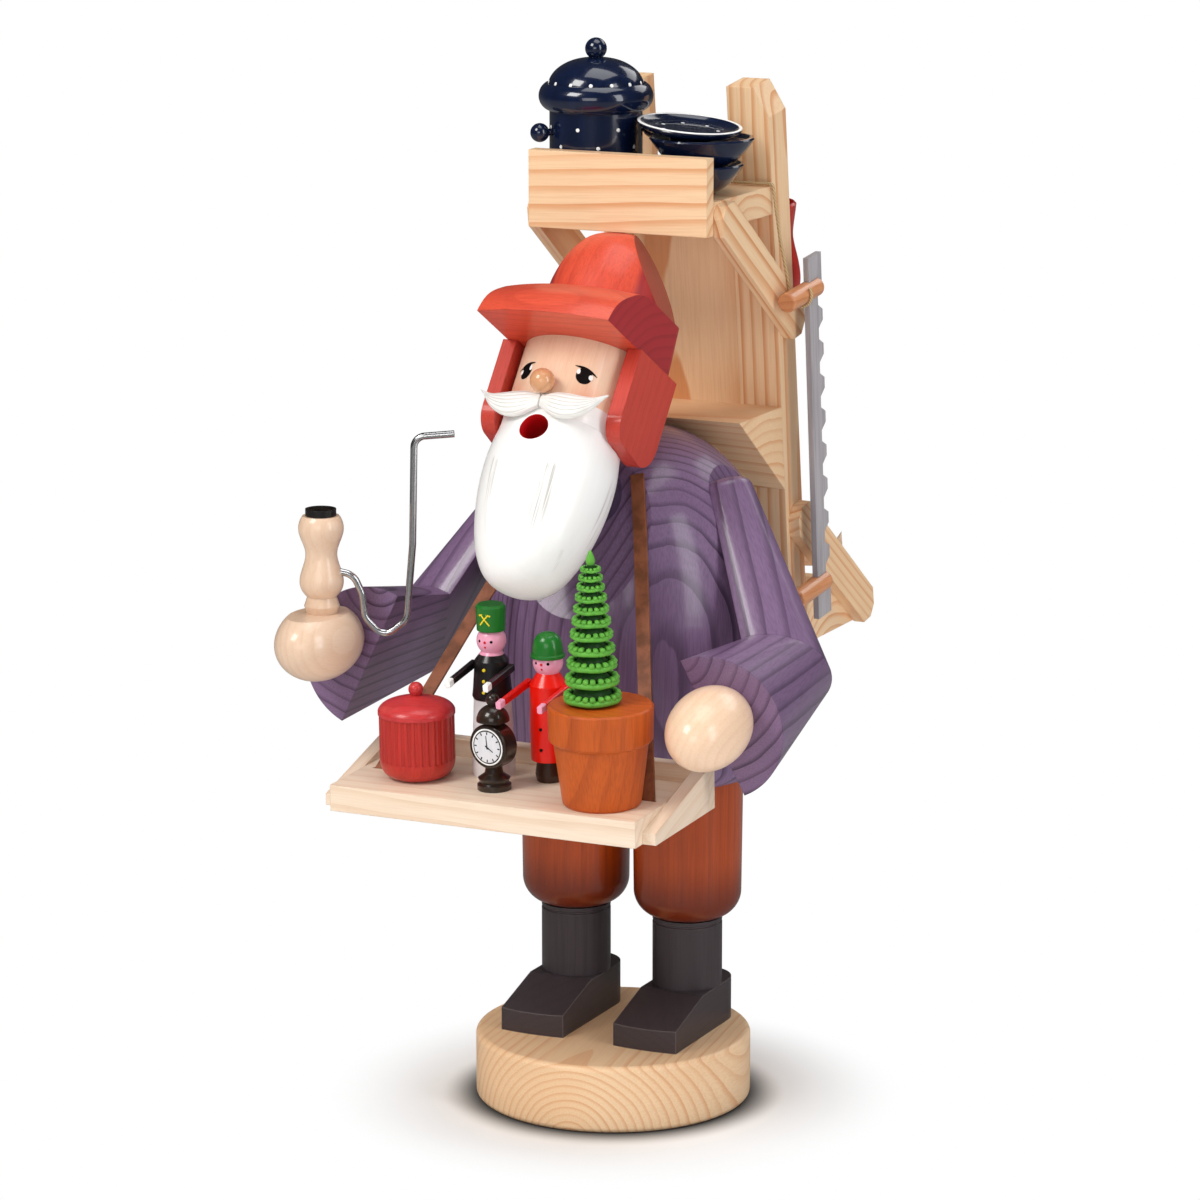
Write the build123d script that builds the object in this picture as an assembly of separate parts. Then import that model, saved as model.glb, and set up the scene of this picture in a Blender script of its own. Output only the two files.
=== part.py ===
from build123d import *
import os
from math import cos, hypot, pi, radians, sin, sqrt, tan

os.makedirs("parts", exist_ok=True)

# Main sizes, in millimetres
overall_w = 222.7       # over the sleeves
overall_d = 315.5       # front edge of the tray to the ends of the rear braces

# Fits
glue_gap = 0.1          # radial room round a glued dowel
slip_gap = 0.4          # room round a piece that lifts off
seat_gap = 0.3          # room between pieces that only rest near each other
cut_size = overall_w + overall_d  # reach of a plane cut, past the whole object

# Base, boots and trousers
base_r = 61.0
base_h = 30.0
base_edge_r = 2.5
leg_x = 27.4
body_y = 19.0           # axis of the legs and of the coat
shoe_w = 30.3
shoe_h = 18.8
toe_h = 9.8
toe_reach = 45.0        # leg axis to the toe
toe_bulge = 1.2
heel_back = 11.0        # leg axis to the middle of the round heel
instep_reach = 16.0     # leg axis to the fold of the instep
boot_r = 15.5
boot_h = 31.2
boot_groove = 0.7
boot_groove_drop = 2.2
trouser_r = 23.9
trouser_flare = 0.6     # how much wider the trousers are at the top
trouser_h = 66.4
trouser_round = 12.0
leg_dowel_r = 4.0
leg_dowel_in_base = 18.0
leg_dowel_in_hip = 8.0

# Platform for the incense cone
hip_r = 46.0
hip_h = 14.0
dish_r = 15.0
dish_h = 4.0
dish_t = 0.8
nail_r = 1.1
nail_head_r = 2.4
nail_head_h = 0.7
nail_l = 10.0

# Coat, turned hollow
coat_foot_r = 56.0
coat_foot_round = 9.0
coat_points = [(66.0, 30.0), (66.2, 52.0), (64.6, 78.0), (59.5, 104.0), (48.5, 128.0), (30.0, 145.0)]
coat_top_h = 152.0
chamber_r = 30.0
chamber_h = 96.0
chamber_roof_h = 14.0
smoke_bore_r = 4.5
collar_tilt = 26.0      # flat at the throat, from upright
collar_y = -33.3        # where that flat passes the height below
collar_z = 250.0

# Arms, halves of turned cones, mitred at the elbow
arm_lean = 25.0         # inner faces of the arms, from upright
sleeve_out = 69.65      # inner face of the arm to the outermost point of the sleeve
arm_x = overall_w / 2 - sleeve_out  # inner face of the arm at the height below
arm_z = 282.0
shoulder_r = 12.4
shoulder_round = 5.0
upper_len = 87.0
upper_lean = 15.0       # upper arm, forward from straight down
fore_len = 73.4
fore_drop = 6.5         # forearm, down from straight ahead
elbow_half = 26.0
elbow_depth = 24.0
cuff_r = 31.4
shoulder_back = {"left": 16.0, "right": 26.5}
shoulder_drop = {"left": 6.0, "right": 6.0}
arm_swing = {"left": 0.0, "right": -8.8}
hand_r = 16.8
hand_half = 26.0
hand_reach = 19.6       # cuff face to the middle of the hand
hand_out = {"left": 8.9, "right": 16.8}
hand_up = {"left": 3.7, "right": 2.8}  # above the middle of the cuff
arm_dowel_r = 3.5
arm_dowel_down = 23.0   # shoulder to the arm's dowel, along the upper arm
arm_dowel_in_arm = 9.0
arm_dowel_in_coat = 11.0
wrist_dowel_r = 2.5
wrist_dowel_in = 9.0

# Head, tilted back, and what is on it
head_tilt = 38.0
head_y = -44.4
head_z = 312.2
face_r = 26.3
face_low = -12.0        # joint of face and beard, below the nose
cheek_x = 26.0          # planed sides that carry the ear flaps
nape_y = 20.0           # planed back that carries the neck
beard_points = [(27.4, -20.0), (28.0, -38.0), (25.4, -56.0), (19.0, -74.0)]
beard_tip = -84.0
mouth_r = 6.3
mouth_drop = 19.6
mouth_depth = 15.0
nose_r = 5.3
nose_peg_r = 1.5
nose_peg_l = 5.0
moustache_drop = 7.0
moustache_l = 28.8
moustache_h = 8.6
moustache_t = 5.0
moustache_rise = 3.2    # tip above the root
moustache_gap = 0.5
moustache_front = 27.2  # head axis to the middle of the moustache
neck_r = 14.0
neck_drop = 16.0
brim_half_w = 30.5
brim_slope = 8.2        # brim against the head
brim_front = 48.5
brim_front_z = 21.7
brim_h = 23.5
brim_back = 26.0
brim_nose = [(5.9, 10.0), (15.3, 17.1)]  # rounded front, back from the lower edge and up
brim_nose_l = 38.0
brim_bow = 5.0          # how far the front edge bows out
brim_edge_r = 4.0
crown_y = 9.0           # crown's axis behind the head's
crown_r = 28.8
crown_base = 44.0       # foot of the crown, above the nose
crown_h = 46.5
crown_round = 32.0
crown_ridge = 6.0       # half width left between the planed sides at the top
crown_plane = 30.0      # planed sides, from upright
flap_t = 6.6
flap_front = 15.9
flap_back = 24.3
flap_low = -14.7
flap_front_r = 9.0
flap_back_r = 15.0

# Pipe
bowl_up = 12.25         # middle of the hand to the foot of the bowl
bowl_back = 2.8         # bowl's axis behind the middle of the hand
bowl_sizes = [(6.6, 0.0), (7.6, 3.1), (6.3, 7.0), (9.4, 13.9), (6.8, 26.1), (9.5, 34.8), (7.9, 42.0)]
bowl_bore_r = 5.6
bowl_bore_h = 9.0
cap_r = 6.6
cap_h = 3.0
wire_r = 1.5
wire_yaw = 21.8         # direction of the wire's plane from +X
wire_points = [(13.5, 16.6), (17.2, 8.6), (18.4, -2.0), (26.4, -10.6), (36.2, -2.6), (39.0, 30.0)]
wire_top_h = 76.3
wire_tip = 57.0
wire_bend_r = 7.0
wire_knee_r = 5.0
wire_in_bowl = 3.5

# Tray
tray_tilt = 2.0
tray_front = 128.6      # distance of the front edge before the origin
tray_low = 151.7        # underside of the front edge
tray_half_w = 71.0
tray_depth = 60.0
tray_floor_t = 11.3
tray_board_t = 6.0
tray_board_h = 19.0
tray_side_tip = 5.0
tray_side_back = 7.0
tray_dowel_r = 4.0
tray_dowel_x = 18.0
tray_dowel_in = 5.0
tray_dowel_up = 6.0
strap_w = 6.0
strap_t = 1.2
strap_top_x = 19.6
strap_top_z = 284.0
strap_knee_x = 25.6     # where the strap leaves the flat at the throat
strap_knee_z = 263.5
strap_slot_x = 64.6
strap_slot_in = 27.0    # front edge of the tray to the slot
strap_slot_room = 0.6
strap_tail = 8.0

# Goods on the tray: places from the middle of the tray's front edge
jar_place = (-42.6, 26.0)
jar_r = 16.0
jar_h = 27.8
jar_foot_r = 9.0
jar_round = 8.5
jar_wall = 2.4
jar_floor = 3.0
jar_flutes = 34
jar_flute_r = 0.9
lid_rim_r = 16.4
lid_rim_t = 1.6
lid_dome_h = 6.4
lid_knob_r = 3.2
lid_plug_h = 3.0
miner_place = (-14.8, 42.5)
toyman_place = (11.6, 42.5)
miner_sizes = [(8.9, 0.0), (9.2, 4.0), (8.0, 33.0), (8.6, 34.5), (8.2, 38.0), (7.3, 50.0), (4.2, 54.0)]
miner_head_r = 6.3
miner_head_z = 58.4
miner_hat_r = 6.1
miner_hat_z = 63.0
miner_hat_h = 11.2
miner_shoulder_x = 7.6
miner_hand_x = 7.2
miner_arm_l = 24.0
miner_arm_z = 47.0
toyman_sizes = [(5.6, 0.0), (6.2, 3.0), (5.4, 9.0), (7.9, 9.4), (8.2, 24.0), (8.0, 42.0), (4.2, 48.0)]
toyman_head_r = 6.4
toyman_head_z = 51.5
toyman_hat_r = 6.6
toyman_hat_z = 55.0
toyman_hat_h = 9.6
toyman_hat_edge = 0.7
toyman_shoulder_x = 8.05
toyman_hand_x = 8.0
toyman_arm_l = 28.0
toyman_arm_z = 41.5
toy_arm_r = 1.7
toy_arm_drop = 3.0      # shoulder to hand
clock_place = (-4.4, 22.0)
clock_sizes = [(7.2, 0.0), (7.2, 2.2), (6.0, 3.0), (6.8, 5.0), (4.0, 7.0), (3.4, 10.5)]
clock_drum_r = 9.6
clock_drum_t = 8.5
clock_drum_z = 19.0
clock_yaw = -10.0         # dial turned from the front
clock_neck_r = 3.6
clock_neck_h = 2.5
clock_dome_r = 7.0
clock_top_z = 41.5
clock_finial_r = 2.9
pot_place = (46.6, 20.0)
pot_foot_r = 16.5
pot_top_r = 20.0
pot_rim_r = 21.8
pot_rim_h = 15.0
pot_h = 42.5
tree_shift = -3.6       # trunk beside the pot's axis
tree_h = 65.0
tree_rings = 12
tree_low_r = 12.4
tree_top_r = 2.6
tree_trunk_r = 2.2
tree_tip = 9.0

# Pack frame
pack_lean = 7.1
pack_half_w = 41.5
post_w = 19.8
post_d = 18.4
post_low_z = 184.0
post_front_y = 101.6    # front of the posts at their lower end
post_top_z = 442.2
post_chamfer_w = 7.0
post_chamfer_h = 13.0
panel_t = 8.0
shelf_z = 399.0
shelf_t = 12.6
shelf_board_y = 3.7
shelf_board_t = 6.8
shelf_board_half = 42.3
shelf_board_low = 384.9
shelf_board_top = 418.5
wedge_z = 298.6
wedge_front_y = 41.2
wedge_low_z = 260.3
rear_shelf_z = 203.0
rear_shelf_t = 19.0
brace_past = 7.9        # how far the braces stand past the rear shelf
rear_shelf_y = overall_d - tray_front - brace_past
brace_w = 18.0
brace_t = 5.2
brace_l = 106.0
brace_trim = 5.8
brace_slope = -35.5
upper_brace_at = (56.0, 364.0)
lower_brace_in = 37.5    # rear edge of the shelf to the middle of the brace
lower_brace_at = (rear_shelf_y - lower_brace_in, 217.9)
pack_dowel_r = 3.0
pack_dowel_x = 18.0
pack_dowel_in = 12.0
saw_gap = 2.2           # room for the twine between handle and brace
saw_lean = 5.6
saw_t = 2.6
saw_l = 167.0
saw_w = 14.2
saw_low_y = 102.0       # front edge of the blade at its lower end
saw_low_z = 200.0
saw_tooth_pitch = 15.7
saw_tooth_depth = 4.8
saw_teeth = 9
saw_end = 14.0
saw_handle_r = 4.35
saw_handle_l = 33.0
saw_handle_in = 10.5    # how far the handle reaches over the blade
saw_handle_at = [15.5, 152.0]
twine_r = 0.7
twine_off = 1.15        # twine's middle from the wood it runs along
twine_bend_r = 1.6
twine_shelf_x = 20.0
twine_corner_in = 8.0   # where the twine turns along the shelf
jug_r = 10.0
jug_waist_r = 7.6
jug_mouth_r = 9.6
jug_h = 44.0
jug_x = 30.5
jug_up = 158.0
jug_flat = 1.2
jug_well = 6.0
cat_in = 11.0           # rear edge of the shelf to the animal
cat_place = (25.0, rear_shelf_y - cat_in)
cat_h = 23.0
cat_l = 24.0
cat_t = 5.0
cat_yaw = 20.0

# Pots on the top shelf
tureen_place = (-23.5, 32.0)
tureen_yaw = 45.0       # line of the two handles
tureen_r = 20.3
tureen_h = 34.5
tureen_rim_r = 25.0
tureen_rim_h = 12.0
tureen_wall = 3.0
tureen_floor = 4.0
tureen_handle_r = 4.15
tureen_handle_z = 25.7
tureen_neck_r = 1.6
tureen_neck_l = 1.4
tureen_lid_r = 21.0
tureen_lid_h = 13.0
tureen_lid_seat = 2.0
tureen_plug_h = 3.0
tureen_knob_r = 4.75
bowl_place = (20.6, 36.0)
bowl_r = 22.9
bowl_foot_r = 11.0
bowl_h = 13.6
bowl_lip = 1.6
bowl_dip = 2.2
bowl_dip_r = 18.0
bowl_shift = (4.6, 0.3)
plate_r = 22.9
plate_foot_r = 9.0
plate_h = 7.6
plate_shift = (-1.8, 0.0)
plate_yaw = 25.0
plate_tilt = (4.0, 5.0)

nodes = {}


def keep(name, *solids):
    nodes[name] = solids[0] if len(solids) == 1 else Compound(children=list(solids))


def rz(r, z):
    return (r, 0, z)


def turned(*edges):
    return revolve(make_face(list(edges)), Axis.Z)


def turned_outline(points):
    # Straight-sided turned piece from its (radius, height) corners, closed along the axis
    ends = [(0, points[0][1])] + list(points) + [(0, points[-1][1])]
    return turned(Polyline(*[rz(r, z) for r, z in ends], close=True))


def turned_smooth(points, start=None, end=None):
    # Turned piece with one smooth side through its (radius, height) points
    side = Spline(*[rz(r, z) for r, z in points], tangents=[start, end] if start else None)
    low, high = points[0], points[-1]
    edges = [side, Line(rz(0, low[1]), rz(0, high[1])), Line(rz(0, low[1]), rz(*low))]
    if high[0] > 0:
        edges.append(Line(rz(0, high[1]), rz(*high)))
    return turned(*edges)


def rod(start, end, r):
    way = Vector(*end) - Vector(*start)
    return Plane(origin=start, z_dir=way) * extrude(Circle(r), way.length)


def slab(x0, x1, y0, y1, z0, z1):
    return Pos((x0 + x1) / 2, (y0 + y1) / 2, (z0 + z1) / 2) * Box(x1 - x0, y1 - y0, z1 - z0)


def board(points, x0, x1):
    # Board with an outline in (y, z), running from x0 to x1
    return extrude(make_face(Polyline(*[(x0, y, z) for y, z in points], close=True)), x1 - x0, (1, 0, 0))


def beyond(plane, size=cut_size):
    # Everything on the outer side of a plane
    return plane * Pos(0, 0, size / 2) * Box(size, size, size)


def mirrored(shape):
    return mirror(shape, about=Plane.YZ)


# Stand
def legs_and_base():
    base = fillet(Cylinder(base_r, base_h).edges().filter_by(GeomType.CIRCLE), base_edge_r)
    base = Pos(0, 0, base_h / 2) * base
    hip_z = base_h + shoe_h + boot_h + trouser_h
    hip = Pos(0, body_y, hip_z + hip_h / 2) * Cylinder(hip_r, hip_h)
    dowels = []
    shoes = []
    boots = []
    for side, x in (("right", -leg_x), ("left", leg_x)):
        foot = Pos(x, body_y, 0)
        dowel_foot = (x, body_y, base_h - leg_dowel_in_base)
        dowel = rod(dowel_foot, (x, body_y, hip_z + leg_dowel_in_hip), leg_dowel_r)
        hole = rod((x, body_y, base_h - leg_dowel_in_base - glue_gap),
                   (x, body_y, hip_z + leg_dowel_in_hip + glue_gap), leg_dowel_r + glue_gap)
        shoes.append(foot * shoe() - hole)
        boots.append(foot * Pos(0, 0, base_h + shoe_h) * boot() - hole)
        keep(f"trouser_{side}", foot * Pos(0, 0, base_h + shoe_h + boot_h) * trouser() - hole)
        base -= hole
        hip -= hole
        dowels.append(dowel)
    nail_hole = rod((0, body_y, hip_z + hip_h - nail_l), (0, body_y, hip_z + hip_h), nail_r + glue_gap)
    keep("base_disc", base)
    keep("shoes", *shoes)
    keep("boot_shafts", *boots)
    keep("leg_dowels", *dowels)
    keep("hip_block", hip - nail_hole)
    on_hip = Pos(0, body_y, hip_z + hip_h)
    keep("incense_dish", on_hip * dish())
    nail_top = rod((0, 0, dish_t), (0, 0, dish_t + nail_head_h), nail_head_r)
    keep("dish_nail", on_hip * (rod((0, 0, -nail_l + glue_gap), (0, 0, dish_t), nail_r) + nail_top))
    return hip_z


def shoe():
    half = shoe_w / 2
    heel = Pos(0, heel_back) * Circle(half)
    toe = ThreePointArc((-half, -toe_reach), (0, -toe_reach - toe_bulge), (half, -toe_reach))
    sides = Polyline((half, -toe_reach), (half, heel_back), (-half, heel_back), (-half, -toe_reach))
    plan = extrude(make_face([toe, sides]) + heel, shoe_h)
    far = heel_back + shoe_w
    tip = -toe_reach - toe_bulge
    side = [(tip, 0), (far, 0), (far, shoe_h), (-instep_reach, shoe_h), (tip, toe_h)]
    return Pos(0, 0, base_h) * (plan & board(side, -shoe_w, shoe_w))


def boot():
    z = boot_h - boot_groove_drop
    cut = boot_groove
    groove = [(boot_r, z - cut), (boot_r - cut, z), (boot_r, z + cut)]
    return turned_outline([(boot_r, 0), *groove, (boot_r, boot_h)])


def trouser():
    start = rz(trouser_r - trouser_round, 0)
    turn = rz(trouser_r, trouser_round)
    middle = rz(trouser_r - trouser_round * (1 - sin(pi / 4)), trouser_round * (1 - sin(pi / 4)))
    top = rz(trouser_r + trouser_flare, trouser_h)
    corner = ThreePointArc(start, middle, turn)
    rest = Polyline(turn, top, rz(0, trouser_h), rz(0, 0), start)
    return turned(corner, rest)


def dish():
    inner = [(dish_r, dish_h), (dish_r - dish_h, dish_t), (nail_r + glue_gap, dish_t)]
    outer = [(nail_r + glue_gap, 0), (dish_r - dish_h + dish_t, 0), (dish_r + dish_t, dish_h)]
    return turned(Polyline(*[rz(r, z) for r, z in outer + inner], close=True))


# Frames that the upper body's pieces share
def throat_plane():
    lean = radians(collar_tilt)
    return Plane(origin=(0, collar_y, collar_z), x_dir=(1, 0, 0), z_dir=(0, -cos(lean), sin(lean)))


def arm_plane():
    lean = radians(arm_lean)
    return Plane(origin=(arm_x, 0, arm_z), x_dir=(0, -1, 0), z_dir=(cos(lean), 0, sin(lean)))


def head_plane():
    tilt = radians(head_tilt)
    return Plane(origin=(0, head_y, head_z), x_dir=(1, 0, 0), z_dir=(0, sin(tilt), cos(tilt)))


def post_y(z):
    return post_front_y - (z - post_low_z) * tan(radians(pack_lean))


def wedge_plane():
    drop = wedge_z - wedge_low_z
    back = post_y(wedge_low_z) - wedge_front_y
    return Plane(origin=(0, wedge_front_y, wedge_z), x_dir=(1, 0, 0), z_dir=(0, drop, back))


def tray_place():
    return Location((0, -tray_front, tray_low), (tray_tilt, 0, 0))


# Coat
def coat(hip_z):
    z0 = hip_z + slip_gap
    foot = rz(coat_foot_r, z0)
    bend = rz(coat_points[0][0] - 0.5, z0 + coat_foot_round)
    swell = ThreePointArc(foot, rz(coat_foot_r + coat_foot_round * 0.75, z0 + coat_foot_round * 0.28), bend)
    knots = [bend] + [rz(r, z0 + h) for r, h in coat_points] + [rz(0, z0 + coat_top_h)]
    side = Spline(*knots, tangents=[(0.03, 0, 1), (-1, 0, 0)])
    body = turned(swell, side, Line(rz(0, z0 + coat_top_h), rz(0, z0)), Line(rz(0, z0), foot))
    recess_top = hip_z + hip_h
    recess = turned_outline([(hip_r + slip_gap, z0 - 1), (hip_r + slip_gap, recess_top)])
    roof = recess_top + chamber_h
    room = turned_smooth([(chamber_r, roof), (0, roof + chamber_roof_h)], (0, 0, 1), (-1, 0, 0))
    room += turned_outline([(chamber_r, recess_top - 1), (chamber_r, roof)])
    body = Pos(0, body_y, 0) * (body - recess - room)
    arm_flat = beyond(arm_plane())
    body -= arm_flat
    body -= mirrored(arm_flat)
    body -= beyond(throat_plane())
    body -= beyond(wedge_plane())
    return body


# Arms in the plane of their inner faces: x forward, y down, z outward
def arm_points():
    down = Vector(sin(radians(upper_lean)), cos(radians(upper_lean)))
    ahead = Vector(cos(radians(fore_drop)), sin(radians(fore_drop)))
    elbow = down * upper_len
    wrist = elbow + ahead * fore_len
    mitre = (ahead - down).normalized()
    return down, ahead, elbow, wrist, mitre


def half_round(centre, along, half, depth):
    plane = Plane(origin=centre, x_dir=along, z_dir=along.cross(Vector(0, 0, 1)))
    arc = EllipticalCenterArc((0, 0), half, depth, start_angle=0, arc_size=180)
    return plane * make_face([arc, Line((-half, 0), (half, 0))])


def hand_middle(side):
    down, ahead, elbow, wrist, mitre = arm_points()
    up = Vector(0, 0, 1)
    return wrist + ahead * hand_reach + up * hand_out[side] - up.cross(ahead) * hand_up[side]


def arm(side):
    down, ahead, elbow, wrist, mitre = arm_points()
    up = Vector(0, 0, 1)
    across_upper = up.cross(down)
    across_fore = up.cross(ahead)
    top = half_round(Vector(0, 0), -across_upper, shoulder_r, shoulder_r)
    bend = half_round(elbow, mitre, elbow_half, elbow_depth)
    cuff = half_round(wrist, -across_fore, cuff_r, cuff_r)
    upper = loft([top, bend], ruled=True)
    rim = [e for e in upper.edges() if e.geom_type != GeomType.LINE and e.center().length < shoulder_r * 1.5]
    upper = fillet(rim, shoulder_round)
    fore = loft([bend, cuff], ruled=True)
    middle = hand_middle(side)
    wrist_end = middle - ahead * (hand_reach + wrist_dowel_in)
    wrist_dowel = rod(wrist_end, middle, wrist_dowel_r)
    wrist_hole = rod(wrist_end - ahead * glue_gap, middle + ahead * glue_gap, wrist_dowel_r + glue_gap)
    pin_at = down * arm_dowel_down
    pin = rod(pin_at - up * arm_dowel_in_coat, pin_at + up * arm_dowel_in_arm, arm_dowel_r)
    pin_hole = rod(pin_at - up * (arm_dowel_in_coat + glue_gap), pin_at + up * (arm_dowel_in_arm + glue_gap),
                   arm_dowel_r + glue_gap)
    place = arm_plane().location
    place *= Location((-shoulder_back[side], shoulder_drop[side], 0), (0, 0, arm_swing[side]))
    pieces = [upper - pin_hole, fore - wrist_hole, pin, wrist_dowel, pin_hole]
    pieces = [place * piece for piece in pieces]
    return pieces if side == "left" else [mirrored(piece) for piece in pieces]


def egg(r, half):
    side = EllipticalCenterArc((0, 0), r, half, start_angle=-90, arc_size=180).rotate(Axis.X, 90)
    return turned(side, Line(rz(0, -half), rz(0, half)))


def hand_axis(side):
    # Middle of the hand and the direction it points in
    ahead = arm_points()[1]
    middle = hand_middle(side)
    place = arm_plane().location
    place *= Location((-shoulder_back[side], shoulder_drop[side], 0), (0, 0, arm_swing[side]))
    ends = [(place * Pos(*point)).position for point in (middle, middle + ahead)]
    if side == "right":
        ends = [Vector(-end.X, end.Y, end.Z) for end in ends]
    return ends[0], ends[1] - ends[0]


def bowl_foot():
    middle, ahead = hand_axis("right")
    return middle - ahead * bowl_back + Vector(0, 0, bowl_up)


def hand(side):
    middle, ahead = hand_axis(side)
    palm = Plane(origin=middle, z_dir=ahead) * egg(hand_r, hand_half)
    palm -= beyond(Plane(origin=middle - ahead * hand_reach, z_dir=-ahead))
    palm -= rod(middle - ahead * hand_reach * 2, middle + ahead * glue_gap, wrist_dowel_r + glue_gap)
    if side == "right":
        palm -= beyond(Plane(origin=bowl_foot()))
    return palm


# Head
def brim_under():
    slope = radians(brim_slope)
    return Plane(origin=(0, -brim_front, brim_front_z), x_dir=(1, 0, 0), z_dir=(0, -sin(slope), cos(slope)))


def head_pieces():
    sides = slab(-cheek_x, cheek_x, -face_r, nape_y, face_low, brim_h * 3)
    face = Pos(0, 0, face_low) * extrude(Circle(face_r), brim_h * 3)
    face = (face & sides) - beyond(brim_under())
    nose_y = -face_r - nose_r + glue_gap
    peg_end = nose_y + nose_r + nose_peg_l
    nose = Pos(0, nose_y, 0) * Sphere(nose_r) + rod((0, nose_y, 0), (0, peg_end, 0), nose_peg_r)
    face -= rod((0, nose_y, 0), (0, peg_end + glue_gap, 0), nose_peg_r + glue_gap)
    face -= Pos(0, nose_y, 0) * Sphere(nose_r + glue_gap)
    knots = [rz(face_r, face_low)] + [rz(r, z) for r, z in beard_points] + [rz(0, beard_tip)]
    side = Spline(*knots, tangents=[(0.05, 0, -1), (-1, 0, 0)])
    beard = turned(side, Polyline(rz(face_r, face_low), rz(0, face_low), rz(0, beard_tip)))
    beard &= slab(-cheek_x * 2, cheek_x * 2, -cheek_x * 2, nape_y, beard_tip * 2, face_low)
    mouth_z = -mouth_drop
    front = -cheek_x * 2
    mouth = rod((0, front, mouth_z), (0, -face_r + mouth_depth, mouth_z), mouth_r)
    beard -= mouth
    room = ear_flap(seat_gap)
    beard = beard - room - mirrored(room)
    return face, beard, nose


def nose_room():
    return Pos(0, -face_r - nose_r + glue_gap, 0) * Sphere(nose_r + glue_gap)


def smoke_bore():
    return rod((0, -face_r, -mouth_drop), (0, nape_y + chamber_r * 2, -mouth_drop), smoke_bore_r)


def moustache():
    # Two leaf-shaped halves, thick in the middle, with raised tips
    halves = []
    root = moustache_gap
    tip = root + moustache_l
    z0 = -moustache_drop
    low = Spline((root, z0 - moustache_h * 0.35), (root + moustache_l * 0.45, z0 - moustache_h * 0.62),
                 (tip, z0 + moustache_rise), tangents=[(1, -0.6), (0.75, 1)])
    high = Spline((root, z0 + moustache_h * 0.35), (root + moustache_l * 0.3, z0 + moustache_h * 0.36),
                  (tip, z0 + moustache_rise), tangents=[(1, 0.5), (1, 0.55)])
    leaf = make_face([low, high, Line(low @ 0, high @ 0)])
    plate = extrude(Plane.XZ * leaf, moustache_t)
    halves.append(Pos(0, -moustache_front + moustache_t / 2, 0) * plate)
    return halves + [mirrored(halves[0])]


def brim():
    # The rounded front is swept round the bow of the front edge
    length = brim_front + brim_back
    bow_r = (brim_half_w ** 2 + brim_bow ** 2) / (2 * brim_bow)
    axis_y = bow_r - brim_bow
    points = [(-brim_bow, 0)] + [(y - brim_bow, z) for y, z in brim_nose] + [(brim_nose_l - brim_bow, brim_h)]
    front = Spline(*[(0, y, z) for y, z in points], tangents=[(0, 0.4, 1), (0, 1, 0)])
    corners = [(brim_nose_l - brim_bow, brim_h), (axis_y, brim_h), (axis_y, 0), (-brim_bow, 0)]
    rest = Polyline(*[(0, y, z) for y, z in corners])
    block = revolve(make_face([front, rest]), Axis((0, axis_y, 0), (0, 0, 1)))
    box = slab(-brim_half_w, brim_half_w, -brim_bow * 2, length, 0, brim_h)
    back_edges = box.edges().filter_by(Axis.Z).group_by(Axis.Y)[-1]
    return brim_under().location * (block & fillet(back_edges, brim_edge_r * 2))


def crown():
    straight = crown_h - crown_round
    dome = turned_smooth([(crown_r, straight), (0, crown_h)], (0, 0, 1), (-1, 0, 0))
    dome += turned_outline([(crown_r, 0), (crown_r, straight)])
    lean = radians(crown_plane)
    cut = beyond(Plane(origin=(crown_ridge, 0, crown_h), x_dir=(0, 1, 0), z_dir=(cos(lean), 0, sin(lean))))
    dome = Pos(0, crown_y, crown_base) * (dome - cut - mirrored(cut))
    seat = brim_under().offset(brim_h)
    return dome - beyond(Plane(origin=seat.origin, x_dir=seat.x_dir, z_dir=-seat.z_dir))


def ear_flap(room=0.0):
    front = -flap_front - room
    back = flap_back + room
    low = flap_low - room
    plate = slab(cheek_x, cheek_x + flap_t, front, back, low, brim_h * 3)
    foot = plate.edges().filter_by(Axis.X).group_by(Axis.Z)[0].sort_by(Axis.Y)
    plate = fillet(foot[0], flap_front_r)
    foot = plate.edges().filter_by(Axis.X).filter_by(lambda e: e.center().Y > back - 0.01).sort_by(Axis.Z)
    plate = fillet(foot[0], flap_back_r)
    return plate - beyond(brim_under())


def neck():
    back = Plane(origin=(0, nape_y, -neck_drop), x_dir=(1, 0, 0), z_dir=(0, 1, 0))
    return back * extrude(Circle(neck_r), chamber_r * 2)


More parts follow.
